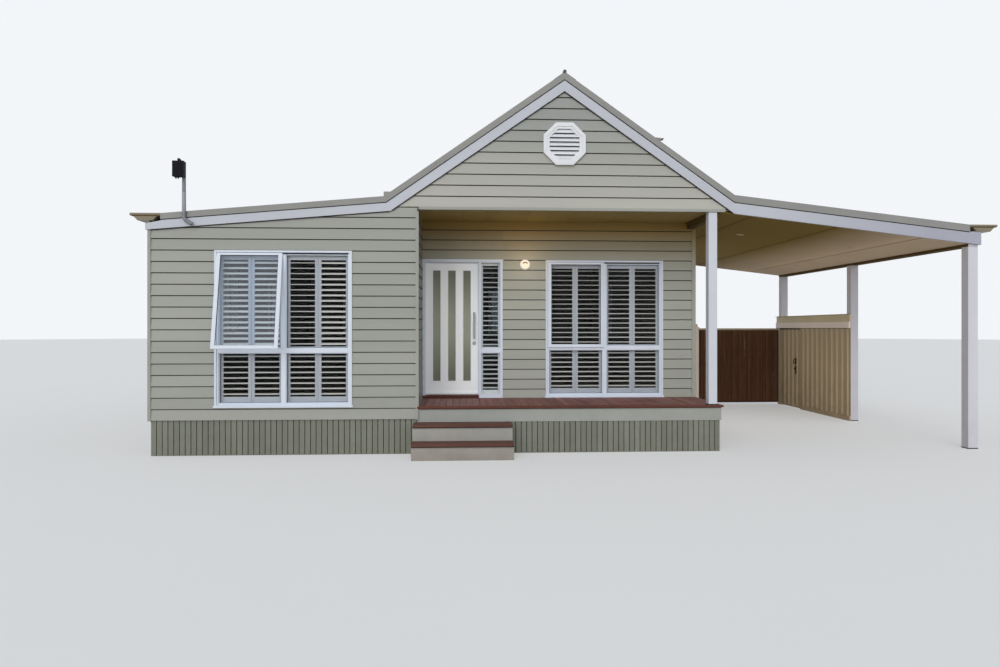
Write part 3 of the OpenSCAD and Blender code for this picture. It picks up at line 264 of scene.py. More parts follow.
BOARD = dict(size=1.1, grain=(0.25, 0.25, 1.4), bump=0.10, fine=90)
NEAR = dict(var=0.05, island=0.045, **BOARD)
BLIND = dict(rough=0.35, var=0.03, island=0.04, size=2.0, bump=0.04)
# The ceilings' fade is painted shade near the house, turning to painted light towards the carport's open
# side
CEILING = dict(rough=0.7, var=0.05, island=0.04, size=1.2, bump=0.06, spec=0.2,
               fade=(0, 3.68, 4.75, (0.43, 0.365, 0.098), (1.43, 1.50, 2.10)))
M = {
    "boards": finish("clad_paint", (0.615, 0.622, 0.597), splash=0.10, **BOARD),
    # The gable's boards are a paler copy of the cladding paint, as painted light, and their fade is painted
    # light at the foot turning to painted shade under the barge
    "boards_gable": finish("gable_lit_shaded_paint", (0.655, 0.662, 0.645),
                           fade=(2, 3.4, 4.55, (1.13, 1.10, 1.05), (0.77, 0.78, 0.78)), **NEAR),
    # The porch's boards are a paler copy of the cladding paint, as painted light under the porch roof; the
    # porch tint adds painted shade and lamp warmth at the top
    "boards_porch": finish("porch_lit_paint", (0.635, 0.642, 0.605), painted_porch_tint=0.9, **NEAR),
    # The return wall's boards are a darker copy of the cladding paint: painted shade in the porch's corner,
    # with the porch tint at the top
    "boards_return": finish("return_shade_paint", (0.50, 0.505, 0.47), painted_porch_tint=0.5, **NEAR),
    # Dim grey for the walls' core: painted shade for the house's inside seen through windows and door, and
    # for the dark ends of the ridge roll
    "core": finish("wall_core_shade", (0.33, 0.33, 0.30), 0.8, 0.08, 0.0, 2.0),
    # Near black for strips that are painted shadow lines: in the boards' grooves, and under nosings,
    # cappings, barges and the screen's strip
    "gap": finish("board_gap", (0.13, 0.13, 0.12), 0.8, 0.1, 0.0, 3.0),
    "base": finish("base_paint", (0.485, 0.50, 0.46), 0.55, 0.08, 0.09, 2.0, (1, 1, 0.3), 0.15, 100,
                   splash=0.22),
    "fascia": finish("fascia_paint", (0.63, 0.64, 0.62), 0.5, 0.06, 0.04, 1.6, bump=0.1, splash=0.12),
    "riser": finish("riser_paint", (0.64, 0.635, 0.615), 0.5, 0.05, 0.04, 1.6, bump=0.1, splash=0.16,
                    fade=(2, 0.05, 0.30, (0.89, 0.85, 0.82), (1.0, 1.0, 1.0))),
    "rail": finish("rail_timber", (0.20, 0.18, 0.15), 0.8, 0.1),
    "white": finish("white_paint", (0.975, 0.985, 1.0), 0.38, 0.03, 0.02, 1.3, bump=0.06, coat=0.1),
    # The barge's fade is painted shade, darker towards the carport's end
    "barge": finish("barge_shaded_paint", (0.755, 0.765, 0.80), 0.42, 0.04, 0.02, 1.3, bump=0.06,
                    fade=(0, 2.7, 5.0, (0.97, 0.985, 1.0), (0.74, 0.74, 0.80))),
    "trim": finish("trim_paint", (0.85, 0.88, 0.93), 0.35, 0.025, 0.02, bump=0.05, coat=0.15),
    "vent": finish("vent_paint", (0.885, 0.895, 0.915), 0.4, 0.025, 0.02, 2.0, bump=0.05),
    "post": finish("post_paint", (0.82, 0.82, 0.86), 0.42, 0.03, 0.02, 1.2, bump=0.06, splash=0.08),
    "porch_post": finish("porch_post_paint", (0.805, 0.82, 0.86), 0.42, 0.03, 0.02, 1.2, bump=0.06),
    "shutter": finish("shutter_paint", (0.83, 0.855, 0.86), **BLIND),
    # blind is a darker copy of the shutter white, painted shade for the shutters behind the window glass;
    # blade is a paler copy, painted light on the blades
    "blind": finish("shutter_shade_paint", (0.69, 0.71, 0.745), **BLIND),
    "blade": finish("blade_lit_paint", (0.88, 0.875, 0.85), **BLIND),
    "cream": finish("cream_paint", (0.73, 0.68, 0.58), 0.5, 0.05, 0.03, 1.4, bump=0.08),
    "ceiling": finish("ceiling_shade_paint", (0.745, 0.67, 0.505), **CEILING),
    "seam": finish("seam_shade_paint", (0.62, 0.55, 0.41), **CEILING),
    # Dark brown for the beams is painted shade; the strips under the gutters' lips use it as painted shadow
    "beam": finish("beam_shade_paint", (0.37, 0.305, 0.19), 0.85, 0.1, 0.04, 2.0, spec=0.12),
    # A darker, yellower copy of the cream lining: painted shade under the porch roof
    "porch_ceiling": finish("porch_ceiling_shade_paint", (0.555, 0.475, 0.255), 0.6, size=1.2, bump=0.06),
    "gutter": finish("gutter_metal", (0.51, 0.475, 0.405), 0.4, 0.06, 0.02, 1.4, (1, 0.4, 1), 0.05),
    "roof": finish("roof_metal", (0.56, 0.565, 0.515), 0.42, 0.09, 0.0, 1.0, (0.3, 4.0, 0.3), 0.08, 60),
    "capping": finish("capping_metal", (0.555, 0.555, 0.545), 0.42, 0.07, 0.0, bump=0.06),
    "screen": finish("screen_metal", (0.725, 0.66, 0.545), 0.45, 0.07, 0.03, 1.6, (1, 1, 0.3), 0.06,
                     splash=0.25),
    "cap_board": finish("cap_board_paint", (0.86, 0.80, 0.66), 0.5, 0.06, 0.03, 1.6, bump=0.08),
    "strip": finish("strip_paint", (0.98, 0.93, 0.90), 0.5, 0.05, 0.03, 1.6, bump=0.08),
    "black": finish("black_metal", (0.10, 0.10, 0.10), 0.45, 0.1, 0.0, 20.0, bump=0.1),
    "box": finish("box_plastic", (0.06, 0.055, 0.07), 0.6, 0.12, 0.0, 12.0, spec=0.2),
    # Paler galvanised steel: a painted reflection on the band round the lower mast pipe, and the bracket's
    # colour
    "pipe": finish("pale_galv_and_sheen", (0.60, 0.615, 0.64), 0.45, 0.12, 0.0, 18.0, bump=0.06, metal=0.2),
    "mesh": finish("vent_mesh", (0.34, 0.34, 0.37), 0.9, 0.1, 0.0, 30.0),
    "bind": finish("brush_binding", (0.25, 0.17, 0.12), 0.8, 0.12, 0.05, 12.0),
    "galv": finish("galvanised_steel", (0.52, 0.53, 0.55), 0.42, 0.14, 0.0, 24.0, bump=0.08, metal=0.55),
    "steel": finish("handle_steel", (0.70, 0.70, 0.72), 0.3, 0.05, 0.0, 30.0, (1, 1, 0.05), 0.05,
                    metal=0.85),
    "hinge": finish("hinge_steel", (0.55, 0.55, 0.54), 0.4, 0.06, 0.0, 30.0, metal=0.7),
    "deck": timber("deck_timber", (0.41, 0.25, 0.225), (0.58, 0.39, 0.355), 1),
    "tread": timber("tread_timber", (0.275, 0.158, 0.124), (0.41, 0.256, 0.204), 0),
    "sill": timber("sill_timber", (0.285, 0.145, 0.105), (0.415, 0.225, 0.16), 0),
    "floor": timber("floor_timber", (0.38, 0.26, 0.17), (0.55, 0.40, 0.28), 1),
    "stump": timber("stump_timber", (0.28, 0.24, 0.19), (0.44, 0.39, 0.32), 2),
    "brush": timber("brush_stems", (0.25, 0.165, 0.12), (0.51, 0.355, 0.255), 2, 0.8, 14.0, 0.36),
    "glass": clear_glass("window_glass", 0.007),
    "sash_glass": clear_glass("sash_glass", 0.065, (0.93, 0.965, 1.0)),
    "dark_glass": clear_glass("tinted_glass", 0.03, (0.20, 0.22, 0.24)),
    "frosted": frosted("frosted_glass"),
    "light": glow("light_cover", (1.0, 0.94, 0.85), 0.58),
}


# Mesh building
class Build:
    """Mesh of one piece in house coordinates; m moves what is added next."""

    def __init__(self):
        self.v, self.f, self.m = [], [], None

    def add(self, pts, faces):
        n = len(self.v)
        for p in pts:
            p = Vector(p)
            if self.m is not None:
                p = self.m @ p
            self.v.append((p.x + OX, p.y + OY, p.z))
        self.f += [[n + i for i in q] for q in faces]

    def hexa(self, p):
        """Eight corners: four below, then four above, in the same order."""
        self.add(p, [(3, 2, 1, 0), (4, 5, 6, 7), (0, 1, 5, 4), (1, 2, 6, 5), (2, 3, 7, 6), (3, 0, 4, 7)])

    def box(self, x0, x1, y0, y1, z0, z1):
        self.hexa([(x, y, z) for z in (z0, z1) for x, y in ((x0, y0), (x1, y0), (x1, y1), (x0, y1))])

    def prism(self, a, b):
        """Solid between two outlines of as many points."""
        n = len(a)
        side = [(i, (i + 1) % n, n + (i + 1) % n, n + i) for i in range(n)]
        self.add(list(a) + list(b), [tuple(range(n))[::-1], tuple(range(n, 2 * n))] + side)

    def slab(self, outline, y0, y1):
        """Solid from y0 to y1 with an outline of (x, z) points."""
        self.prism(*([(x, y, z) for x, z in outline] for y in (y0, y1)))

    def tube(self, pts, r, n=8):
        """Round bar through the points; r is one radius, or one for each point."""
        pts = [Vector(p) for p in pts]
        rings = []
        for i, p in enumerate(pts):
            d = (pts[min(i + 1, len(pts) - 1)] - pts[max(i - 1, 0)]).normalized()
            u = d.cross(Vector((0, 0, 1)) if abs(d.z) < 0.9 else Vector((1, 0, 0))).normalized()
            w = d.cross(u)
            k = r[i] if isinstance(r, (list, tuple)) else r
            rings.append([p + (u * cos(t) + w * sin(t)) * k for t in turns(n)])
        flat = [q for ring in rings for q in ring]
        faces = [tuple(range(n))[::-1], tuple(range(len(flat) - n, len(flat)))]
        for i in range(len(rings) - 1):
            faces += [(i * n + j, i * n + (j + 1) % n, (i + 1) * n + (j + 1) % n, (i + 1) * n + j)
                      for j in range(n)]
        self.add(flat, faces)

    def done(self, name, mat, slot, body="house", bevel=0.002, seg=2, smooth=None, replaces=()):
        me = bpy.data.meshes.new(name)
        me.from_pydata(self.v, [], self.f)
        bm = bmesh.new()
        bm.from_mesh(me)
        bmesh.ops.recalc_face_normals(bm, faces=bm.faces)
        bm.to_mesh(me)
        bm.free()
        o = new_object(name, me)
        me.materials.append(M[mat])
        if bevel:
            round_edges(o, bevel, seg, 35)
        if smooth is not None:
            me.shade_smooth()
            me.set_sharp_from_angle(angle=radians(smooth))
        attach(o, body)
        if replaces:
            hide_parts(*replaces)


def round_edges(o, width, seg, limit):
    b = o.modifiers.new("edge", "BEVEL")
    b.width, b.segments, b.limit_method = width, seg, "ANGLE"
    b.angle_limit = radians(limit)


def boxes(name, mat, slot, rows, body="house", **edges):
    """Piece of plain boxes, each given as x0, x1, y0, y1, z0, z1."""
    b = Build()
    for row in rows:
        b.box(*row)
    b.done(name, mat, slot, body, **edges)


def dress(name, mat, bevel=0.003, seg=2):
    """Better material and rounded edges for a CAD node."""
    o = nodes[name]
    for s in o.material_slots:
        s.material = M[mat]
    if not o.material_slots:
        o.data.materials.append(M[mat])
    if bevel:
        w = o.modifiers.new("weld", "WELD")
        w.merge_threshold = 0.00002
        round_edges(o, bevel, seg, 30)
        o.modifiers.new("normals", "WEIGHTED_NORMAL")


# Weatherboards. A wall's place maps (along, outwards, up) to house coordinates
def front_at(y):
    return lambda u, d, z: (u, y - d, z)


def left_at(x):
    return lambda u, d, z: (x - d, u, z)


def right_at(x):
    return lambda u, d, z: (x + d, u, z)


def back_at(y):
    return lambda u, d, z: (u, y + d, z)


# Cover of a board, its thickness below and above, the groove over it, the film
# of wall left in the groove, and how far the board's back sinks in the wall
PITCH, LIP, THIN, GROOVE, FILM, SINK = 0.15, 0.019, 0.007, 0.013, 0.001, 0.004
# Strips of painted shadow in the grooves, under each board's lip
shade = Build()


def board(b, put, r0, z0, z1, a0, a1, c0, c1):
    """One board, or part of one, between heights z0 and z1 of the row that
    starts at r0; its ends are a0 and a1 below, c0 and c1 above."""
    def out(z):
        return LIP + (THIN - LIP) * min(1.0, (z - r0) / (PITCH - GROOVE))
    knee = r0 + PITCH - GROOVE
    prof = [(0.0, z0), (out(z0), z0)]
    if z1 > knee + FILM and z0 < knee - FILM:
        prof += [(out(knee), knee), (FILM, knee + 2 * FILM), (FILM, z1), (0.0, z1)]
    elif z0 >= knee - FILM:
        prof = [(0.0, z0), (FILM, z0), (FILM, z1), (0.0, z1)]
    else:
        prof += [(out(z1), z1), (0.0, z1)]
    b.prism(*([put(p + (q - p) * (z - z0) / (z1 - z0), d - SINK, z) for d, z in prof]
              for p, q in ((a0, c0), (a1, c1))))
    # Dark strip in the groove: painted shadow under the lip of the board above
    if z1 >= r0 + PITCH - FILM and z0 < knee:
        q = [(d, z) for d, z in ((-SINK, knee + 0.003), (FILM, knee + 0.003), (FILM, z1 + SINK),
                                 (-SINK, z1 + SINK))]
        shade.prism(*([put(c, d, z) for d, z in q] for c in (c0 + FILM, c1 - FILM)))


def boards(b, put, ref, lo, hi, span, holes):
    """Rows of boards from lo to hi. span(z) gives the wall's two ends at a height,
    and each hole is (u0, u1, z0, z1)."""
    r0 = ref + PITCH * floor((lo - ref) / PITCH + 0.001)
    while r0 < hi - 0.004:
        a, c = max(r0, lo), min(r0 + PITCH, hi)
        live = [h for h in holes if h[2] < c - 0.001 and h[3] > a + 0.001]
        ends = [e for h in live for e in h[:2]]
        s0, s1 = span(a), span(c)
        if s1[1] - s1[0] < 0.02:
            s1 = ((s0[0] + s0[1]) / 2 - 0.01, (s0[0] + s0[1]) / 2 + 0.01)
        cuts = [s0[0]] + sorted(e for e in set(ends) if s0[0] < e < s0[1]) + [s0[1]]
        parts = []
        for u0, u1 in zip(cuts, cuts[1:]):
            if u1 - u0 < 0.004:
                continue
            mid = (u0 + u1) / 2
            free = [(a, c)]
            for h in live:
                if h[0] < mid < h[1]:
                    free = [(max(p, x), min(q, y)) for p, q in free
                            for x, y in ((p, h[2]), (h[3], q)) if min(q, y) - max(p, x) > 0.003]
            for z in free:
                if parts and parts[-1][1] == u0 and parts[-1][2] == z:
                    parts[-1][1] = u1
                else:
                    parts.append([u0, u1, z])
        for u0, u1, (z0, z1) in parts:
            c0 = s1[0] if u0 == s0[0] and z1 == c else u0
            c1 = s1[1] if u1 == s0[1] and z1 == c else u1
            if c1 - c0 > 0.005:
                board(b, put, r0, z0, z1, u0, u1, c0, c1)
        r0 += PITCH


# Level of a board's foot in every wall but the gable, and the gable's top
LAP_Z, GABLE_TOP = 3.17, 4.95


def wall(name, put, lo, hi, span, holes=(), mat="boards", ref=LAP_Z):
    b = Build()
    boards(b, put, ref, lo, hi, span if callable(span) else (lambda z: span), holes)
    b.done(name, mat, "cladding", bevel=0.0018, seg=1)


# Front windows (left edges), plain windows (where each starts along its wall),
# vent, and the door frame's two sides
WIN_W, WIN_H, WIN_Z = 1.8, 2.078, 0.637
WIN1, WIN2 = -4.647, -0.119
SW, SH, SZ = 1.4, 1.15, 1.565
PLAIN = {"left": (1.9, 5.3), "right": (6.7,), "back": (-4.485, -0.7)}
VZ = 4.174
DOOR_L, DOOR_R = -1.979, -0.772


def front_hole(x):
    return x, x + WIN_W, WIN_Z, WIN_Z + WIN_H


def plain_holes(kind):
    return [(u, u + SW, SZ, SZ + SH) for u in PLAIN[kind]]


def wing_end(z):
    """Left end of the boards at a height, cut off by the wing roof's fall."""
    return LX if z < wing_under(LX) + 0.07 else -KX - max(0.0, KZ + 0.07 - z) / T49


def gable_half(z):
    return KX - (z - 0.06 - KZ) / T35


def back_span(z):
    if z > KZ + 0.06:
        return -gable_half(z), min(RX, gable_half(z))
    return wing_end(z), RX


wall("boards_wing", front_at(0), BZ, PHZ, lambda z: (wing_end(z), WX), [front_hole(WIN1)])
wall("boards_gable", front_at(0), PHZ, GABLE_TOP, lambda z: (-gable_half(z), gable_half(z)),
     [(-w, w, VZ - h, VZ + h) for w, h in ((0.215, 0.145), (0.145, 0.215))], "boards_gable", LAP_Z + 0.142)
wall("boards_porch", front_at(PD), DZ, PHZ, (DOOR_R, RX - 0.001), [front_hole(WIN2)], "boards_porch")
wall("boards_over_door", front_at(PD), 2.715, PHZ, (WX + 0.002, DOOR_R), mat="boards_porch")
wall("boards_return", right_at(WX), DZ, PHZ, (0.03, 1.142), mat="boards_return")
wall("boards_left", left_at(LX), BZ, 3.097, (0.02, HD - 0.02), plain_holes("left"))
wall("boards_right", right_at(RX), BZ, 3.5, (PD + 0.02, HD - 0.02),
     plain_holes("right") + [(0, 6.035, 3.262, 3.6)])
wall("boards_back", back_at(HD), BZ, GABLE_TOP, back_span, plain_holes("back"))
shade.done("board_gaps", "gap", "cladding", bevel=0)

# Corner beads and the short board at the foot of the gable
IN, OUT = 0.020, 0.022
boxes("corner_beads", "boards", "cladding", (
    (LX - OUT, LX + IN, -OUT, IN, BZ - 0.01, 3.08),
    (WX - IN, WX + OUT, -OUT, IN, BZ - 0.01, KZ),
    (LX - OUT, LX + IN, HD - IN, HD + OUT, BZ - 0.01, 3.08),
    (RX - IN, RX + OUT, HD - IN, HD + OUT, BZ - 0.01, 3.30),
    (WX + OUT, KX - 0.12, -IN, 0.004, PHZ - 0.018, PHZ + OUT)), bevel=0.003)
boxes("porch_bead", "boards_porch", "cladding",
      [(RX - 0.036, RX + OUT, PD - OUT, PD + IN, DZ, 3.29)], bevel=0.003)

# The walls' core is dim grey, painted shade for the house's inside seen through the windows
for n in ("wing_front_wall", "left_side_wall", "porch_return_wall", "porch_wall", "wall_over_door",
          "right_side_wall", "back_wall", "gable_wall"):
    dress(n, "core", 0)
dress("floor", "floor", 0)
dress("stumps", "stump", 0.004)


# Upright slats round the base, nailed to rails
def slats(b, rails, put, z1, u0, u1):
    n = round((u1 - u0) / 0.074)
    p = (u1 - u0) / n
    for i in range(n):
        a = u0 + i * p
        top = z1 + rnd.uniform(-0.001, 0.0)
        e = a + p - 0.0085
        b.hexa([put(u, d, z) for z in (0.0, top) for u, d in ((a, 0), (e, 0), (e, -0.019), (a, -0.019))])
    for z in (0.06, z1 - 0.09):
        rails.hexa([put(u, d, z + k) for k in (0.0, 0.045)
                    for u, d in ((u0, -0.0195), (u1 - 0.01, -0.0195), (u1 - 0.01, -0.03), (u0, -0.03))])


# The slats' setback, the gap at a corner, and the top of those under the porch
SET, CORNER, LOW_TOP = 0.012, 0.043, 0.424
SLATS = {
    "front": ((front_at(SET), BZ, LX + SET, WX), (front_at(SET), LOW_TOP, WX + 0.001, RX - SET)),
    "side": ((left_at(LX + SET), BZ, CORNER, HD - CORNER), (back_at(HD - SET), BZ, LX + SET, RX - SET),
             (right_at(RX - SET), BZ, PD, HD - CORNER), (right_at(RX - SET), LOW_TOP, CORNER, PD)),
}
for kind, runs in SLATS.items():
    b, rails = Build(), Build()
    for run in runs:
        slats(b, rails, *run)
    b.done("slats_" + kind, "base", "base_paint", bevel=0.0015, seg=1, replaces=(kind + "_slats",))
    rails.done("slat_rails_" + kind, "rail", "base_paint", bevel=0.002, seg=1)

# Deck: boards from front to back behind a nosing board, the door's sill and the
# sidelight's foot
b = Build()
x0, x1 = WX, RX + OUT
n = round((x1 - x0) / 0.094)
p = (x1 - x0) / n
for i in range(n):
    a = x0 + i * p
    b.box(a, a + p - 0.004, 0.062, PD, DZ - 0.022, DZ + rnd.uniform(-0.0012, 0.0))
b.box(x0, x1, -0.002, PD, DZ - 0.030, DZ - 0.0235)
b.done("deck_boards", "deck", "decking", bevel=0.003, replaces=("porch_deck",))
SILL_END, SILL_BACK = -1.131, 1.290
boxes("deck_nosing", "sill", "decking", (
    (x0, x1, -0.030, 0.058, DZ - 0.030, DZ + 0.001),
    (DOOR_L, SILL_END - 0.0005, 1.126, SILL_BACK, DZ, DZ + 0.040)), bevel=0.005, seg=3)
boxes("sidelight_foot", "trim", "white_paint",
      [(SILL_END, DOOR_R, 1.144, SILL_BACK, DZ + 0.001, DZ + 0.0395)], bevel=0.002)
FASCIA_Z, FASCIA_TOP = 0.425, 0.6045
# Strip of painted shadow under the deck's nosing
boxes("nosing_shadow", "gap", "decking",
      [(WX + 0.030, RX - 0.001, -0.0014, -0.0003, FASCIA_TOP - 0.009, FASCIA_TOP)], bevel=0)
boxes("fascia_boards", "fascia", "base_paint", (
    (WX + 0.023, RX, 0.0, 0.030, FASCIA_Z, FASCIA_TOP),
    (WX + 0.001, WX + 0.0225, 0.001, 0.029, FASCIA_Z, 0.4595),
    (RX - 0.030, RX, 0.0305, PD - 0.001, FASCIA_Z, FASCIA_TOP)), bevel=0.003, replaces=("deck_fascia",))

# Steps: two boards to a tread, and a strip of painted shadow under each nosing
STEP_L, STEP_R = -2.030, -0.720
planks, strips = [], []
for top, y0, y1 in ((0.4233, -0.2795, 0.012), (0.2116, -0.5465, -0.2545)):
    m = (y0 + y1) / 2
    planks += [(STEP_L, STEP_R, a, c, top - 0.032, top) for a, c in ((y0, m - 0.003), (m + 0.003, y1))]
    strips.append((STEP_L + 0.002, STEP_R - 0.002, y0 + 0.004, y0 + 0.0155, top - 0.0405, top - 0.0315))
boxes("step_boards", "tread", "decking", planks, bevel=0.005, seg=3, replaces=("step_treads",))
boxes("tread_shadow", "gap", "decking", strips, bevel=0)
dress("step_risers", "riser", 0.003)

# Ceilings
w = (2.045 - WX) / 13
boxes("porch_lining", "porch_ceiling", "cream_lining",
      [(WX + i * w, WX + (i + 1) * w - 0.002, 0.12, PD, PHZ, PHZ + 0.012) for i in range(13)],
      bevel=0.003, seg=1, replaces=("porch_ceiling",))


def lining(b, x0, x1, y0, y1, z0, z1):
    """Plate along the carport ceiling, from z0 to z1 above its face."""
    b.hexa([(x, y, carport_under(x) + z) for z in (z0, z1)
            for x, y in ((x0, y0), (x1, y0), (x1, y1), (x0, y1))])


JOINTS = (2.6, 3.8, 5.0)
sheets, strips = Build(), Build()
for x0, x1 in zip((RX,) + JOINTS, JOINTS + (PX0,)):
    for y0, y1 in ((0.0, 2.4), (2.4, 4.8), (4.8, CD)):
        lining(sheets, x0 + 0.002, x1 - 0.002, y0, y1 - 0.002, 0.0, 0.012)
for x in JOINTS:
    lining(strips, x - 0.016, x + 0.016, 0.0, CD - 0.01, -0.004, 0.001)
sheets.done("carport_lining", "ceiling", "cream_lining", bevel=0.002, seg=1, replaces=("carport_ceiling",))
strips.done("lining_strips", "seam", "cream_lining", bevel=0.001, seg=1)


def disc(b, c, r, h, n=28, tilt=0.0, axis="z"):
    """Short drum whose lower face is at c; it grows upwards, or forwards."""
    def at(s, t):
        x, y = cos(t) * r, sin(t) * r
        if axis == "z":
            return c[0] + x, c[1] + y, c[2] + s - x * tilt
        return c[0] + x, c[1] - s, c[2] + y
    b.prism(*([at(s, t) for t in turns(n)] for s in (0, h)))


rim, lens = Build(), Build()
for x, y in ((3.02, 1.51), (4.77, 1.43), (3.02, 4.08), (5.147, 4.08)):
    z = carport_under(x)
    disc(rim, (x, y, z - 0.006), 0.056, 0.010, tilt=T66)
    disc(lens, (x, y, z - 0.0075), 0.040, 0.004, tilt=T66)
rim.done("downlight_rims", "cap_board", "white_paint", bevel=0.002, smooth=40)
lens.done("downlight_lenses", "cream", "light_cover", bevel=0.001, smooth=40)

# Corrugation's width and half its depth, and the sheet's thickness
WAVE, SWELL, SHEET = 0.076, 0.0085, 0.0013


def roof(name, node, low, high, depth, over0=0.0, over1=0.0):
    """Corrugated sheets on one plane, with screws on every second crest. Each
    edge is its x, the height of the crests and that of the core's foot."""
    (x0, z0, core0), (x1, z1, core1) = low, high
    b = Build()
    b.slab([(x0, z0 - 0.019), (x1, z1 - 0.019), (x1, core1), (x0, core0)], 0.0, depth)
    b.done(name + "_battens", "rail", "roof_metal", bevel=0, replaces=(node,))
    b = Build()
    g = (z1 - z0) / (x1 - x0)
    a0, a1 = x0 - over0, x1 + over1
    b0, b1 = z0 - g * over0, z1 + g * over1
    n = round(depth / WAVE) * 8
    pts, faces = [], []
    for i in range(n + 1):
        y = depth * i / n
        w = SWELL * (cos(2 * pi * i / 8) - 1)
        pts += [(a0, y, b0 + w), (a1, y, b1 + w), (a1, y, b1 + w - SHEET), (a0, y, b0 + w - SHEET)]
    for k in range(0, 4 * n, 4):
        faces += [(k + j, k + (j + 1) % 4, k + 4 + (j + 1) % 4, k + 4 + j) for j in range(4)]
    faces += [(0, 1, 2, 3), (n * 4 + 3, n * 4 + 2, n * 4 + 1, n * 4)]
    b.add(pts, faces)
    b.done(name + "_sheets", "roof", "roof_metal", bevel=0, smooth=50)
    b = Build()
    rows = max(2, round(hypot(x1 - x0, z1 - z0) / 0.9))
    for r in range(rows + 1):
        x = x0 + (x1 - x0) * (0.04 + 0.90 * r / rows)
        z = z0 + (x - x0) * g
        for i in range(8, n - 8, 16):
            b.tube([(x, depth * i / n, z + k) for k in (-0.002, 0.0015, 0.002, 0.007)],
                   [0.011, 0.011, 0.0055, 0.0055], 6)
    b.done(name + "_screws", "roof", "roof_metal", bevel=0)


# Where the core's foot and the sheets lie at the wing's two edges, the knee and
# the carport's outer edge
wing_z, meet_z = (wing_under(x) + WB for x in (LE, -JT))
knee_z, side_z = (KZ + MB - (x - KX) * T65 for x in (KX, RE))
roof("roof_left", "main_roof_left", (-JT, RIDGE - JT * T35, RIDGE - MR - JS * T35),
     (0.0, RIDGE, RIDGE - MR), HD)
roof("roof_right", "main_roof_right", (0.0, RIDGE, RIDGE - MR), (KX, knee_z + MR, knee_z), HD, 0, 0.02)
roof("roof_wing", "wing_roof", (LE, wing_z + WR, wing_z), (-JT, meet_z + WR, meet_z), HD, 0.05)
roof("roof_carport", "carport_roof", (KX, knee_z + MR, knee_z), (RE, side_z + MR, side_z), CD, 0, 0.05)

# Ridge: bent sheet with a roll; a dark disc at each end of the roll is painted shade for its open hollow
VERGE, ROLL_Z = 0.050, RIDGE + 0.0080
b = Build()
for k in (-1, 1):
    b.slab([(k * x, RIDGE + 0.0012 + u - x * T35) for x, u in ((0.012, 0.0), (0.150, 0.0), (0.150, 0.0028),
                                                              (0.012, 0.0028))], -VERGE, HD + VERGE)
b.tube([(0, y, ROLL_Z) for y in (-VERGE, 3.0, 6.0, HD + VERGE)], 0.0255, 24)
b.done("ridge_sheet", "capping", "roof_metal", bevel=0.0006, seg=1, smooth=40, replaces=("ridge_cap",))
b = Build()
for y, k in ((-VERGE - 0.0005, -1), (HD + VERGE + 0.0005, 1)):
    b.tube([(0, y, ROLL_Z), (0, y + 0.0008 * k, ROLL_Z)], 0.0215, 24)
b.done("ridge_end_shade", "core", "roof_metal", bevel=0)
dress("verge_capping", "capping", 0.002)
dress("front_barge_board", "barge", 0.003)
dress("back_barge_board", "barge", 0.003)
dress("gutters", "gutter", 0.0015)

# End lips of the two long gutters, with a strip of painted shadow under each
lips, under_lips = Build(), Build()
for x0, x1, top, depth in ((LX - 0.235, LE, wing_z + WR, HD), (RE, RE + 0.39, side_z + MR, CD)):
    for y, k in ((-VERGE, -1), (depth + VERGE, 1)):
        lips.box(x0 + 0.001, x1 - 0.001, *sorted((y + 0.0005 * k, y + 0.006 * k)), top - 0.026, top)
        under_lips.box(x0 + 0.030, x1 - 0.030, *sorted((y + 0.0003 * k, y + 0.0015 * k)),
                       top - 0.043, top - 0.0265)
lips.done("gutter_lips", "gutter", "cream_metal", bevel=0.002)
under_lips.done("gutter_lip_shadow", "beam", "cream_metal", bevel=0)
# The beams' dark brown is painted shade
dress("carport_beams", "beam", 0.003)
dress("carport_posts", "post", 0.005, 3)
dress("porch_post", "porch_post", 0.005, 3)

# Dark strips round the posts' feet, painted shadow for the gap at each foot, and the front post's thin head
feet = [(PX0, PX1, y, y + PX1 - PX0, 0.0) for y in (0.0, 3.03, 5.86)] + [(1.987, 2.107, 0.0, 0.12, DZ)]
boxes("post_foot_shadow", "black", "black_plastic",
      [(x0 - 0.0015, x1 + 0.0015, y0 - 0.0015, y1 + 0.0015, z, z + 0.014) for x0, x1, y0, y1, z in feet],
      bevel=0.0006, seg=1)
b = Build()
b.slab([(PX0, 2.8285), (PX1, 2.8285), (PX1, 2.8474), (PX0, 2.8636)], -0.003, -0.0003)
b.done("post_head", "post", "white_paint", bevel=0.0006, seg=1)

# Shadow lines under the verge capping and the barge boards, and the capping's
# lifted corner
b = Build()
line = [(LE, wing_z), (-JS, KZ + MB - (JS - KX) * T35), (0.0, RIDGE - MR), (KX, knee_z), (RE, side_z)]
for (x0, z0), (x1, z1) in zip(line, line[1:]):
    k = 0.010 * hypot(x1 - x0, z1 - z0) / (x1 - x0)
    b.slab([(x0, z0 - k), (x1, z1 - k), (x1, z1), (x0, z0)], -0.0415, -0.0395)
b.done("capping_shadow", "gap", "roof_metal", bevel=0)
b = Build()
for y0, y1 in ((-0.0235, -0.0190), (HD + 0.0190, HD + 0.0235)):
    for end in (-KX + 0.02, KX - 0.02):
        b.slab([(x, main_under(x) + k)
                for x, k in ((0.0, -0.012), (end, -0.012), (end, 0.002), (0.0, 0.002))], y0, y1)
    b.slab([(x, wing_under(x) + k) for x, k in ((LX, -0.010), (-KX - 0.02, -0.010), (-KX - 0.02, 0.002),
                                                (LX, 0.002))], y0, y1)
b.done("barge_shadow", "gap", "white_paint", bevel=0)
b = Build()
z = RIDGE + 0.0015
lift = 0.012
tab = [(1.235, z - 1.235 * T35), (1.355, z - 1.235 * T35 - lift), (1.290, z - 1.290 * T35 + 0.002)]
b.slab(tab, -VERGE - 0.0005, -0.0490)
b.prism([(x, -0.0490, q) for x, q in tab], [(x, 0.02, q - k) for (x, q), k in zip(tab, (0, lift, 0))])
b.done("capping_corner", "capping", "roof_metal", bevel=0.0006, seg=1)


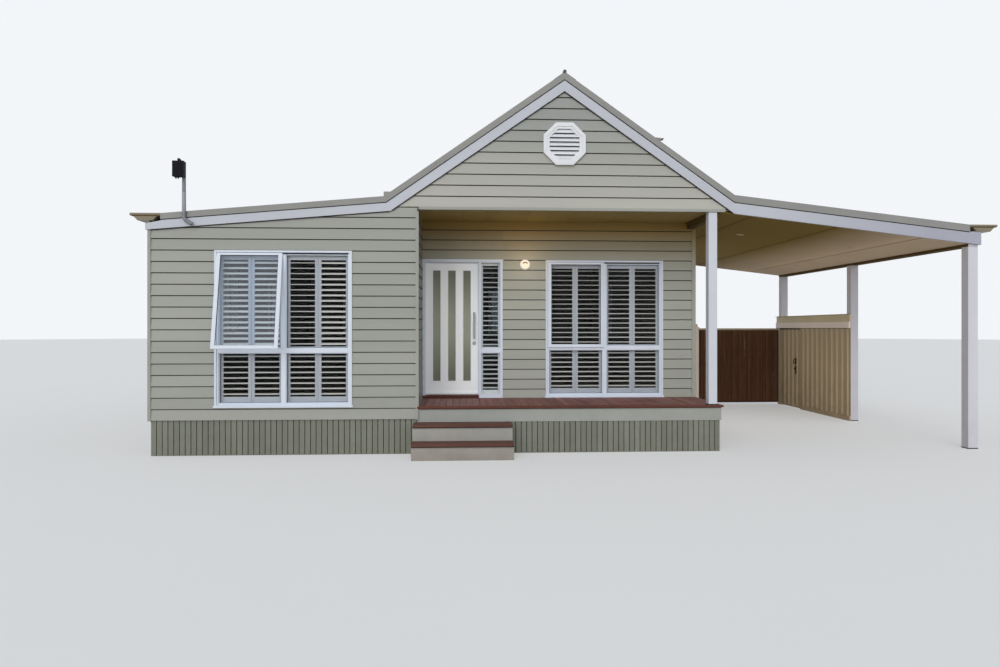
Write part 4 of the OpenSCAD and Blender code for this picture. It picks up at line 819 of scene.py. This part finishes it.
# Windows
def ring(b, x0, x1, z0, z1, w, y0, y1):
    """Four members round an opening."""
    b.box(x0, x0 + w, y0, y1, z0, z1)
    b.box(x1 - w, x1, y0, y1, z0, z1)
    b.box(x0 + w, x1 - w, y0, y1, z1 - w, z1)
    b.box(x0 + w, x1 - w, y0, y1, z0, z0 + w)


def shutter(b, leaf, x, y, z, w, h, foot, head, tilt, stile=0.042, t=0.027):
    """Panel of tilted blades between two stiles and a foot and head rail. The
    blades go into leaf."""
    n = round((h - foot - head) / 0.072)
    pitch = (h - foot - head) / n
    g = 0.0015
    b.box(x + g, x + stile, y, y + t, z + g, z + h - g)
    b.box(x + w - stile, x + w - g, y, y + t, z + g, z + h - g)
    b.box(x + stile, x + w - stile, y + 0.001, y + t - 0.001, z + g, z + foot)
    b.box(x + stile, x + w - stile, y + 0.001, y + t - 0.001, z + h - head, z + h - g)
    ct, st = cos(radians(tilt)), sin(radians(tilt))
    oval = [(0.0315 * cos(a), 0.0048 * sin(a)) for a in turns(12)]
    for i in range(n):
        zc, yc = z + foot + (i + 0.5) * pitch, y + t / 2
        prof = [(yc + u * ct - v * st, zc + u * st + v * ct) for u, v in oval]
        leaf.prism(*([(end, yy, zz) for yy, zz in prof] for end in (x + stile, x + w - stile)))


def put_at(place, *builds):
    for b in builds:
        b.m = place


frames, panes, blinds, blades, seals_and_shade, awning, rear_panes = (Build() for i in range(7))
# Frame's face with its rebate and without, middle bar, pane width, low and high
# panes, and the frame's front
FF, EDGE, BAR, PW, LPH = 0.050, 0.027, 0.058, 0.821, 0.670
HPZ = FF + LPH + BAR
HPH = WIN_H - HPZ - FF
FRONT = -0.024
BEADS = ((0.010, 0.021), (0.029, 0.040))
SEAL = (0.0185, 0.0305)
PANE = (0.022, 0.028)


def frame_edges(b, w, h, sill):
    """Outer frame with its sill and set-back inner rebate; the rebate of the
    head lies deeper and leaves a shadow line, with a black strip of painted
    shadow under the head."""
    ring(b, 0, w, 0, h, EDGE, FRONT, 0.12)
    b.box(-0.012, w + 0.012, -0.036, 0.0, sill, 0.024)
    b.box(EDGE, FF, -0.006, 0.115, EDGE, h - EDGE)
    b.box(w - FF, w - EDGE, -0.006, 0.115, EDGE, h - EDGE)
    b.box(FF, w - FF, -0.006, 0.115, EDGE, FF)
    b.box(FF, w - FF, 0.030, 0.115, h - FF, h - EDGE)
    # Black strip under the head: painted shadow line
    seals_and_shade.box(FF, w - FF, 0.012, 0.030, h - 0.042, h - 0.028)


def sash(open_deg, at):
    """Awning sash hung from the head, opened by an angle and held by stays."""
    top = HPZ + HPH + 0.018
    w, h = PW + 0.036, HPH + 0.036
    glass = awning if open_deg else panes
    hung = Matrix.Translation((FF - 0.018, FRONT, top)) @ Matrix.Rotation(radians(-open_deg), 4, "X")
    put_at(at @ hung, frames, glass, seals_and_shade)
    lift = -0.012 if open_deg == 0 else 0.0
    st, tr, br = 0.052, 0.032, 0.046
    deep = lift + (0.034 if open_deg else 0.028)
    for a, c, y0, y1 in ((0.0, 0.0, lift, lift + 0.022), (0.006, 0.012, lift + 0.022, deep)):
        frames.box(a, st - c, y0, y1, -h + a, -a)
        frames.box(w - st + c, w - a, y0, y1, -h + a, -a)
        frames.box(st - c, w - st + c, y0, y1, -tr + c / 2, -a)
        frames.box(st - c, w - st + c, y0, y1, -h + a, -h + br - c)
    for x0, x1, z0, z1 in ((st, st + 0.004, -h + br, -tr), (w - st - 0.004, w - st, -h + br, -tr),
                           (st, w - st, -tr - 0.004, -tr), (st, w - st, -h + br, -h + br + 0.004)):
        seals_and_shade.box(x0, x1, lift + 0.003, lift + 0.020, z0, z1)
    glass.box(st - 0.004, w - st + 0.004, lift + 0.009, lift + 0.015, -h + br - 0.004, -tr + 0.004)
    if open_deg:
        frames.m = at
        s, c, mid = sin(radians(open_deg)), cos(radians(open_deg)), FF + PW / 2
        for x in (FF + 0.03, FF + PW - 0.03):
            frames.tube([(x, 0.0, top - h * 0.62), (x, FRONT - s * h * 0.55, top - h * 0.56)], 0.006)
        frames.tube([(mid, 0.01, top - h + 0.06), (mid, FRONT - s * (h - 0.05), top - h * c + 0.03)], 0.005)


def big_window(x, y, open_deg, tilts):
    """Front window: two low panes, an awning sash over the left one, a fixed pane
    over the right one, and shutter panels behind. tilts are the high panels'."""
    at = Matrix.Translation((x, y, WIN_Z))
    put_at(at, frames, panes, blinds, blades, seals_and_shade)
    frame_edges(frames, WIN_W, WIN_H, -0.004 if y == 0 else -0.0015)
    frames.box(FF + PW, FF + PW + BAR, -0.008, 0.113, FF, WIN_H - FF)
    frames.box(FF, FF + PW, -0.008, 0.113, FF + LPH, HPZ)
    frames.box(FF + PW + BAR, WIN_W - FF, -0.008, 0.113, FF + LPH, HPZ)
    for i in (0, 1):
        px = FF + i * (PW + BAR)
        for z, h in ((FF, LPH), (HPZ, HPH)):
            for bead in BEADS:
                ring(frames, px, px + PW, z, z + h, 0.010, *bead)
            if i == 0 and z == HPZ:
                continue
            ring(seals_and_shade, px + 0.010, px + PW - 0.010, z + 0.010, z + h - 0.010, 0.004, *SEAL)
            panes.box(px + 0.002, px + PW - 0.002, *PANE, z + 0.002, z + h - 0.002)
        for z, h, foot, head in ((FF, LPH, 0.084, 0.010), (HPZ, HPH, 0.025, 0.068)):
            for k in (0, 1):
                tilt = tilts[2 * i + k] if z == HPZ else 13
                shutter(blinds, blades, px + k * PW / 2, 0.062, z, PW / 2, h, foot, head, tilt)
    sash(open_deg, at)
    put_at(None, frames, panes, blinds, blades, seals_and_shade)


big_window(WIN1, 0.0, 11, (30, 30, 12, 25))
big_window(WIN2, PD, 0, (11, 11, 13, 12))


def plain_window(kind, u):
    x, y, turn = {"left": (LX, u + SW, -90), "right": (RX, u, 90), "back": (u + SW, HD, 180)}[kind]
    at = Matrix.Translation((x, y, SZ)) @ Matrix.Rotation(radians(turn), 4, "Z")
    put_at(at, frames, rear_panes, seals_and_shade)
    frame_edges(frames, SW, SH, -0.004)
    frames.box((SW - BAR) / 2, (SW + BAR) / 2, -0.008, 0.110, FF, SH - FF)
    w = (SW - 2 * FF - BAR) / 2
    for px in (FF, FF + w + BAR):
        ring(frames, px, px + w, FF, SH - FF, 0.032, 0.006, 0.021)
        ring(frames, px, px + w, FF, SH - FF, 0.026, 0.029, 0.042)
        ring(seals_and_shade, px + 0.032, px + w - 0.032, FF + 0.032, SH - FF - 0.032, 0.004, *SEAL)
        rear_panes.box(px + 0.002, px + w - 0.002, *PANE, FF + 0.002, SH - FF - 0.002)
    put_at(None, frames, rear_panes, seals_and_shade)


for kind, places in PLAIN.items():
    for u in places:
        plain_window(kind, u)
blades.done("shutter_blades", "blade", "shutter_white", bevel=0, smooth=40)
SHUTTER = dict(bevel=0.0012, seg=1, smooth=40)
blinds.done("shutter_set", "blind", "shutter_white", replaces=("window_shutters",), **SHUTTER)

# Sidelight beside the door: two panes, each with its shutter panel
SX, SLW = -1.102, 0.296
SILL_Z, HEAD_Z = 0.675, 2.683
SIDELIGHT = ((SILL_Z, 1.315, 0.075, 0.010), (1.373, HEAD_Z, 0.030, 0.050))
blinds = Build()
for z0, z1, foot, head in SIDELIGHT:
    ring(seals_and_shade, SX, SX + SLW, z0, z1, 0.005, PD + 0.014, PD + 0.0305)
    panes.box(SX + 0.002, SX + SLW - 0.002, PD + PANE[0], PD + PANE[1], z0 + 0.002, z1 - 0.002)
    shutter(blinds, blinds, SX, PD + 0.045, z0, SLW, z1 - z0, foot, head, 15, 0.034)
frames.done("window_frame_set", "trim", "white_paint", bevel=0.0025, replaces=("window_frames",))
# Glazing seals, and black strips of painted shadow under the window heads
seals_and_shade.done("window_seals_and_head_shade", "black", "black_plastic", bevel=0)
panes.done("window_panes", "glass", "glass", bevel=0, replaces=("window_glass",))
awning.done("sash_pane", "sash_glass", "glass", bevel=0)
rear_panes.done("tinted_panes", "dark_glass", "glass", bevel=0)
blinds.done("sidelight_shutters", "shutter", "shutter_white", **SHUTTER)

# Door frame with stops and beads, then the door's fittings
dress("door_frame", "trim", 0.003)
b = Build()
JAMB_L, JAMB_R, STOP = -1.945, -1.131, 0.012
for x0, x1, z0 in ((JAMB_L, JAMB_L + STOP, SILL_Z), (JAMB_R - STOP, JAMB_R, SILL_Z),
                   (JAMB_L + STOP, JAMB_R - STOP, HEAD_Z - STOP)):
    b.box(x0, x1, 1.176, 1.202, z0, HEAD_Z)
for z0, z1, foot, head in SIDELIGHT:
    ring(b, SX, SX + SLW, z0, z1, 0.010, PD - 0.012, PD + 0.013)
b.box(DOOR_L - 0.008, DOOR_R + 0.008, 1.140, 1.150, 2.700, 2.722)
b.done("door_stops", "trim", "white_paint", bevel=0.002)
dress("front_door", "white", 0.002)
dress("door_glass", "frosted", 0)
dress("door_handle", "steel", 0.001)
dress("hinge_plates", "hinge", 0.0005)
DX, DFY, DOOR_W = -1.938, 1.208, 0.8
b = Build()
for k in (-1, 0, 1):
    c = DX + DOOR_W / 2 + k * 0.228
    for y0 in (DFY - 0.005, DFY + 0.030):
        ring(b, c - 0.0695, c + 0.0695, 0.876, 2.570, 0.014, y0, y0 + 0.015)
b.box(DX + 0.004, DX + DOOR_W - 0.004, DFY - 0.012, DFY + 0.002, 0.690, 0.722)
b.done("door_beads", "white", "white_paint", "door_leaf", bevel=0.003)
LOCK_X, LOCK_Z = -1.200, 1.459
b = Build()
disc(b, (LOCK_X, DFY + 0.001, LOCK_Z), 0.028, 0.008, axis="y")
disc(b, (LOCK_X, DFY - 0.006, LOCK_Z), 0.016, 0.012, axis="y")
b.box(LOCK_X - 0.0015, LOCK_X + 0.0015, DFY - 0.0195, DFY - 0.017, LOCK_Z - 0.007, LOCK_Z + 0.007)
b.done("door_lock", "steel", "handle_metal", "door_leaf", bevel=0.001, smooth=40)

# Porch light: frosted cover, rim and the lamp's holder behind the cover
LAMP_X, LAMP_Z = -0.434, 2.645
dress("porch_light", "light", 0.006, 3)
b = Build()
prof = [(0.060, 0.014), (0.077, 0.014), (0.079, 0.018), (0.078, 0.028), (0.066, 0.033), (0.061, 0.030)]
n, rounds = len(prof), 40
pts = [(LAMP_X + cos(t) * r, PD - d, LAMP_Z + sin(t) * r) for t in turns(rounds) for r, d in prof]
faces = [(i * n + j, i * n + (j + 1) % n, (i + 1) % rounds * n + (j + 1) % n, (i + 1) % rounds * n + j)
         for i in range(rounds) for j in range(n)]
b.add(pts, faces)
b.done("light_rim", "vent", "light_cover", bevel=0, smooth=50)
b = Build()
b.tube([(LAMP_X + 0.034 * cos(a), PD - 0.0535, LAMP_Z + 0.034 * sin(a))
        for a in (0.45 + 0.28 * i for i in range(9))], 0.0075)
b.done("lamp_holder", "bind", "light_cover", bevel=0, smooth=50)


# Gable vent: stepped octagonal frame and blades cut to its opening
def octa(across, y):
    r = across / 2 / cos(pi / 8)
    return [(r * cos(pi / 8 + a), y, VZ + r * sin(pi / 8 + a)) for a in turns(8)]


def octa_ring(b, outer, inner, y0, y1):
    a, c, d, e = octa(outer, y0), octa(inner, y0), octa(outer, y1), octa(inner, y1)
    for k in range(8):
        j = (k + 1) % 8
        b.hexa([a[k], a[j], c[j], c[k], d[k], d[j], e[j], e[k]])


OPENING, BLADES = 0.408, 7
b = Build()
octa_ring(b, 0.572, 0.470, -0.046, 0.0)
octa_ring(b, 0.470, OPENING, -0.036, 0.01)
b.done("vent_frame", "vent", "white_paint", bevel=0.002, replaces=("gable_vent",))
b = Build()
half = OPENING / 2 + 0.002
for i in range(BLADES):
    z = VZ - OPENING / 2 + (i + 0.5) * OPENING / BLADES
    prof = [(-0.0355, z - 0.024), (-0.032, z - 0.0265), (0.004, z + 0.0235), (-0.001, z + 0.0255)]
    ends = [half - max(0.0, abs(zz - VZ) - half * tan(pi / 8)) for yy, zz in prof]
    b.prism(*([(k * w, yy, min(zz, VZ + 0.2035)) for w, (yy, zz) in zip(ends, prof)] for k in (-1, 1)))
b.done("vent_blades", "vent", "white_paint", bevel=0.001, seg=1)
b = Build()
b.prism(octa(0.430, 0.014), octa(0.430, 0.018))
b.done("vent_mesh", "mesh", "black_metal", bevel=0)

# Latch of the side gate: two plates with a pull and a slide bolt, and screws
dress("side_screen", "screen", 0.002)
dress("side_gate", "screen", 0.0015)
LY, BOLT_Z = 5.115, 0.835
b = Build()
b.box(5.6305, 5.6398, LY - 0.027, LY + 0.027, 0.925, 1.060)
b.box(5.6305, 5.6398, LY - 0.025, LY + 0.025, 0.722, 0.892)
pull = ((5.630, 1.035), (5.600, 1.034), (5.588, 1.026), (5.585, 1.010), (5.585, 0.970), (5.588, 0.954),
        (5.600, 0.946), (5.630, 0.945))
b.tube([(x, LY, z) for x, z in pull], 0.0085, 10)
b.tube([(5.6185, 5.092, BOLT_Z), (5.6185, 5.138, BOLT_Z)], 0.0095, 14)
for y in (5.094, 5.128):
    b.box(5.612, 5.630, y, y + 0.008, BOLT_Z - 0.015, BOLT_Z + 0.015)
b.tube([(x, LY, BOLT_Z) for x in (5.612, 5.592, 5.590)], [0.0055, 0.0055, 0.004], 10)
for y in (LY - 0.019, LY + 0.019):
    for z in (0.934, 1.051, 0.731, 0.883):
        b.tube([(5.632, y, z), (5.6288, y, z)], 0.0045, 10)
b.done("latch_plates", "black", "black_metal", "side_gate_leaf", replaces=("gate_latch",), **SHUTTER)

# Screen: light strip, cap board and cap; the gate's stops, shadow and foot
INNER = 5.6295
NEAR_END, FAR_END = 3.026, 6.062
STRIP, TOP_BOARD = (1.690, 1.809), (1.8135, 1.937)
boxes("screen_strip", "strip", "cream_metal", (
    (INNER, 5.634, NEAR_END + 0.006, FAR_END - 0.004) + STRIP,
    (INNER, 5.668, FAR_END - 0.005, FAR_END) + STRIP,
    (INNER, 5.66, NEAR_END, NEAR_END + 0.0055) + STRIP), bevel=0.0015)
boxes("screen_top_board", "cap_board", "cream_metal", (
    (5.6445, 5.649, NEAR_END + 0.006, FAR_END - 0.004) + TOP_BOARD,
    (5.6445, 5.668, NEAR_END, NEAR_END + 0.0055) + TOP_BOARD), bevel=0.0015)
boxes("gate_stops", "screen", "cream_metal", (
    (5.6565, 5.6658, 4.905, 4.9395, 0.0905, 1.684),
    (5.650, 5.6563, 4.905, 4.990, 0.0905, 1.684),
    (5.650, 5.6575, 5.822, 5.8595, 0.055, 1.684)), bevel=0.001, seg=1)
boxes("strip_shadow", "gap", "cream_metal", (
    (INNER, 5.634, 3.036, 5.860, 1.682, 1.6895),
    (INNER, 5.634, 4.930, 5.8595, 1.660, 1.6815)), bevel=0)
boxes("gate_foot", "screen", "cream_metal", [(5.657, 5.664, 4.9625, 5.8375, 0.012, 0.0495)],
      "side_gate_leaf", bevel=0.001, seg=1)
boxes("screen_cap", "cream", "cream_metal", [(5.610, 5.6665, NEAR_END, FAR_END, 1.938, 1.948)], bevel=0.003)

# Capped gate post at the back, with its ball
GX, GY, BALL = 3.760, 5.930, 0.0475
boxes("gate_post_cover", "strip", "cream_metal",
      [(GX - w, GX + w, GY - w, GY + w, z0, z1)
       for w, z0, z1 in ((0.065, 1.698, 1.716), (0.061, 0.0, 0.09), (0.0565, 0.09, 1.698))], bevel=0.003)
b = Build()
arc = [i * pi / 16 for i in range(-8, 9)]
b.tube([(GX, GY, 1.740 + BALL * sin(a)) for a in arc], [max(0.001, BALL * cos(a)) for a in arc], 28)
b.done("post_ball", "strip", "cream_metal", bevel=0, smooth=50)


# Brush panels: packed stems held by wires between dark edges and a cream rail
def brush(name, x0, x1, z0, z1, body, node):
    b = Build()
    y0, y1 = 5.908, 5.952
    n = int((x1 - x0) / 0.0105)
    for row in (y0 + 0.004, (y0 + y1) / 2, y1 - 0.004):
        for i in range(n):
            x = x0 + (i + 0.5) * (x1 - x0) / n + rnd.uniform(-0.003, 0.003)
            y = row + rnd.uniform(-0.003, 0.003)
            r = rnd.uniform(0.0045, 0.0075)
            a, c = z0 + rnd.uniform(0, 0.02), z1 - rnd.uniform(0.0, 0.012)
            k1, k2 = rnd.uniform(-0.004, 0.004), rnd.uniform(-0.004, 0.004)
            x = min(max(x, x0 + r + 0.004), x1 - r - 0.004)
            b.tube([(x + k, y, a + (c - a) * s)
                    for k, s in ((0, 0), (k1, 1 / 3), (k2, 2 / 3), (0, 1))], r, 5)
    b.done(name, "brush", "brush_panel", body, bevel=0, smooth=60, replaces=(node,))
    b = Build()
    z = z0 + 0.22
    while z < z1 - 0.1:
        for y in (y0 - 0.005, y1 + 0.005):
            b.tube([(x0 + 0.002, y, z), ((x0 + x1) / 2, y, z - 0.002), (x1 - 0.002, y, z)], 0.0014, 5)
        z += 0.30
    b.done(name + "_wires", "bind", "hinge_metal", body, bevel=0)
    edge, rail = 0.022, z1 - 0.040
    ya, yb = y0 - 0.004, y1 + 0.004
    boxes(name + "_edges", "bind", "brush_panel", (
        (x0, x0 + edge, ya, yb, z0, rail), (x1 - edge, x1, ya, yb, z0, rail),
        (x0 + edge, x1 - edge, ya, yb, z0, z0 + 0.035)), body, bevel=0.003)
    boxes(name + "_rail", "cream", "brush_panel", [(x0, x1, y0 - 0.006, y1 + 0.006, rail, z1)], body,
          bevel=0.003)


BRUSH_TOP = 1.685
brush("brush_gate", 3.835, 5.620, 0.050, BRUSH_TOP, "rear_gate_leaf", "rear_gate")
brush("brush_screen", 2.187, 3.705, 0.0, BRUSH_TOP, "house", "rear_screen")
PIN_X, PIN_Y = 3.825, 5.960
b = Build()
for z in (0.3003, 1.3353):
    b.prism(*([(PIN_X + 0.008 * cos(t), PIN_Y + 0.008 * sin(t), q) for t in turns(20)]
              for q in (z, z + 0.05)))
    b.box(PIN_X, PIN_X + 0.240, PIN_Y, PIN_Y + 0.003, z, z + 0.05)
b.done("gate_straps", "hinge", "hinge_metal", "rear_gate_leaf", bevel=0.0008, seg=1)

# Service mast with its bent foot, a paler band on the pipe that is a painted reflection, and its bracket
MX, MY = -5.015, -0.074
bend = [(MX + 0.07 - 0.07 * cos(a), MY, 3.150 - 0.07 * sin(a))
        for a in (radians(k) for k in range(0, 61, 6))]
b = Build()
b.tube([(MX, MY, 3.853), (MX, MY, 3.50)] + bend + [(MX + 0.104, MY, 3.0494)], 0.024, 32)
b.done("mast_pipe", "galv", "galvanised", bevel=0, smooth=40, replaces=("service_mast",))
b = Build()
b.tube([(MX, MY, z) for z in (3.195, 3.198, 3.455, 3.458)], [0.0243, 0.0258, 0.0258, 0.0243], 32)
b.box(MX - 0.012, MX + 0.030, -0.062, -0.0395, 3.098, 3.128)
b.done("mast_sheen_band_and_bracket", "pipe", "galvanised", bevel=0.001, smooth=40)

# Its box with a lid, four screws, two glands and an entry cap
LID = -0.190
b = Build()
b.box(MX - 0.106, MX + 0.0355, -0.176, -0.098, 3.649, 3.850)
b.box(MX - 0.108, MX + 0.0375, LID, -0.1765, 3.647, 3.852)
for x in (MX - 0.094, MX + 0.0235):
    for z in (3.661, 3.838):
        disc(b, (x, LID, z), 0.005, 0.002, 10, axis="y")
for x in (MX - 0.078, MX - 0.048):
    b.tube([(x, -0.137, z) for z in (3.651, 3.640, 3.639, 3.626)], [0.012, 0.012, 0.008, 0.008], 12)
cap = ((-0.030, 3.848), (-0.034, 3.866), (-0.050, 3.884), (-0.058, 3.890))
b.tube([(MX + x, -0.130, z) for x, z in cap], [0.020, 0.022, 0.018, 0.008], 14)
b.done("supply_box", "box", "black_plastic", bevel=0.002, smooth=40, replaces=("mast_box",))


# Floor, sky and lights
def floor_material():
    """Pale where it is seen, a warmer tone as paving for what it throws back, and
    painted shade under the house."""
    m, t = new_material("studio_floor")
    path = t.node("LightPath")
    seen = t.math("MAXIMUM", path.outputs["Is Camera Ray"], path.outputs["Is Glossy Ray"])
    within = [t.math("LESS_THAN", t.math("ABSOLUTE", t.math("SUBTRACT", t.axis(i), mid)), half - 0.045)
              for i, mid, half in ((0, OX + (LX + RX) / 2, (RX - LX) / 2), (1, OY + HD / 2, HD / 2))]
    # Painted shade on the floor under the house
    under_house_shade = t.math("MULTIPLY", *within)
    a = t.mix(t.noise(t.place(), 0.6), rgb((0.915, 0.915, 0.915)), rgb((0.93, 0.93, 0.93)))
    a = t.mix(seen, rgb((0.75, 0.70, 0.64)), a)
    a = t.mix(under_house_shade, a, rgb((0.17, 0.15, 0.13)))
    t.feed(t.skin, {"Base Color": a, "Roughness": 0.9})
    pale = t.node("Emission", {"Color": (0.86, 0.865, 0.87, 1), "Strength": 0.9})
    part = t.math("MULTIPLY", path.outputs["Is Camera Ray"], t.math("MULTIPLY_ADD", under_house_shade, -0.4, 0.4))
    t.feed(t.out, {"Surface": t.mix_shaders(part, t.skin, pale)})
    return m


FLOOR_R = 120
me = bpy.data.meshes.new("studio_floor")
me.from_pydata([(FLOOR_R * cos(a), FLOOR_R * sin(a), 0) for a in turns(64)], [], [tuple(range(64))])
ground = new_object("studio_floor", me)
me.materials.append(floor_material())

world = bpy.data.worlds.new("world")
bpy.context.scene.world = world
world.use_nodes = True
world.node_tree.nodes.clear()
t = Tree(world.node_tree)
path = t.node("LightPath")
seen = t.math("MAXIMUM", path.outputs["Is Camera Ray"], path.outputs["Is Glossy Ray"])
seen = t.math("MAXIMUM", seen, path.outputs["Is Transmission Ray"])
sky = t.node("Background", {"Color": (0.86, 0.93, 1.0, 1), "Strength": 0.55})
back = t.node("Background", {"Color": (0.90, 0.92, 0.95, 1), "Strength": 1.0})
t.node("OutputWorld", {"Surface": t.mix_shaders(seen, sky, back)})


def light(name, kind, energy, color, **shape):
    """Light that shows in no mirror."""
    data = bpy.data.lights.new(name, kind)
    data.energy, data.color = energy, color
    for k, v in shape.items():
        setattr(data, k, v)
    o = new_object(name, data)
    o.visible_glossy = False
    return o


def aim(o, toward):
    o.rotation_euler = Vector(toward).to_track_quat("-Z", "Y").to_euler()


for name, energy, toward, color, spread in (
        ("sun", 0.95, (0.12, 0.80, -0.56), (1.0, 0.98, 0.95), 35),
        ("fill", 0.68, (0.50, 0.85, -0.12), (1.0, 0.985, 0.97), 30),
        ("side", 0.34, (-0.25, 0.95, -0.15), (0.93, 0.97, 1.0), 40)):
    aim(light(name, "SUN", energy, color, angle=radians(spread)), toward)
bounce = light("carport_bounce", "AREA", 17.0, (1.0, 0.95, 0.87), shape="RECTANGLE", size=3.4, size_y=1.8)
bounce.location = (OX + 2.26, OY + 4.0, 1.5)
bounce.visible_camera = False
aim(bounce, (1.0, 0.0, 0.12))
lamp = light("porch_lamp", "POINT", 2.4, (1.0, 0.73, 0.40), shadow_soft_size=0.12)
lamp.location = (OX + LAMP_X, OY + PD - 0.35, 2.72)
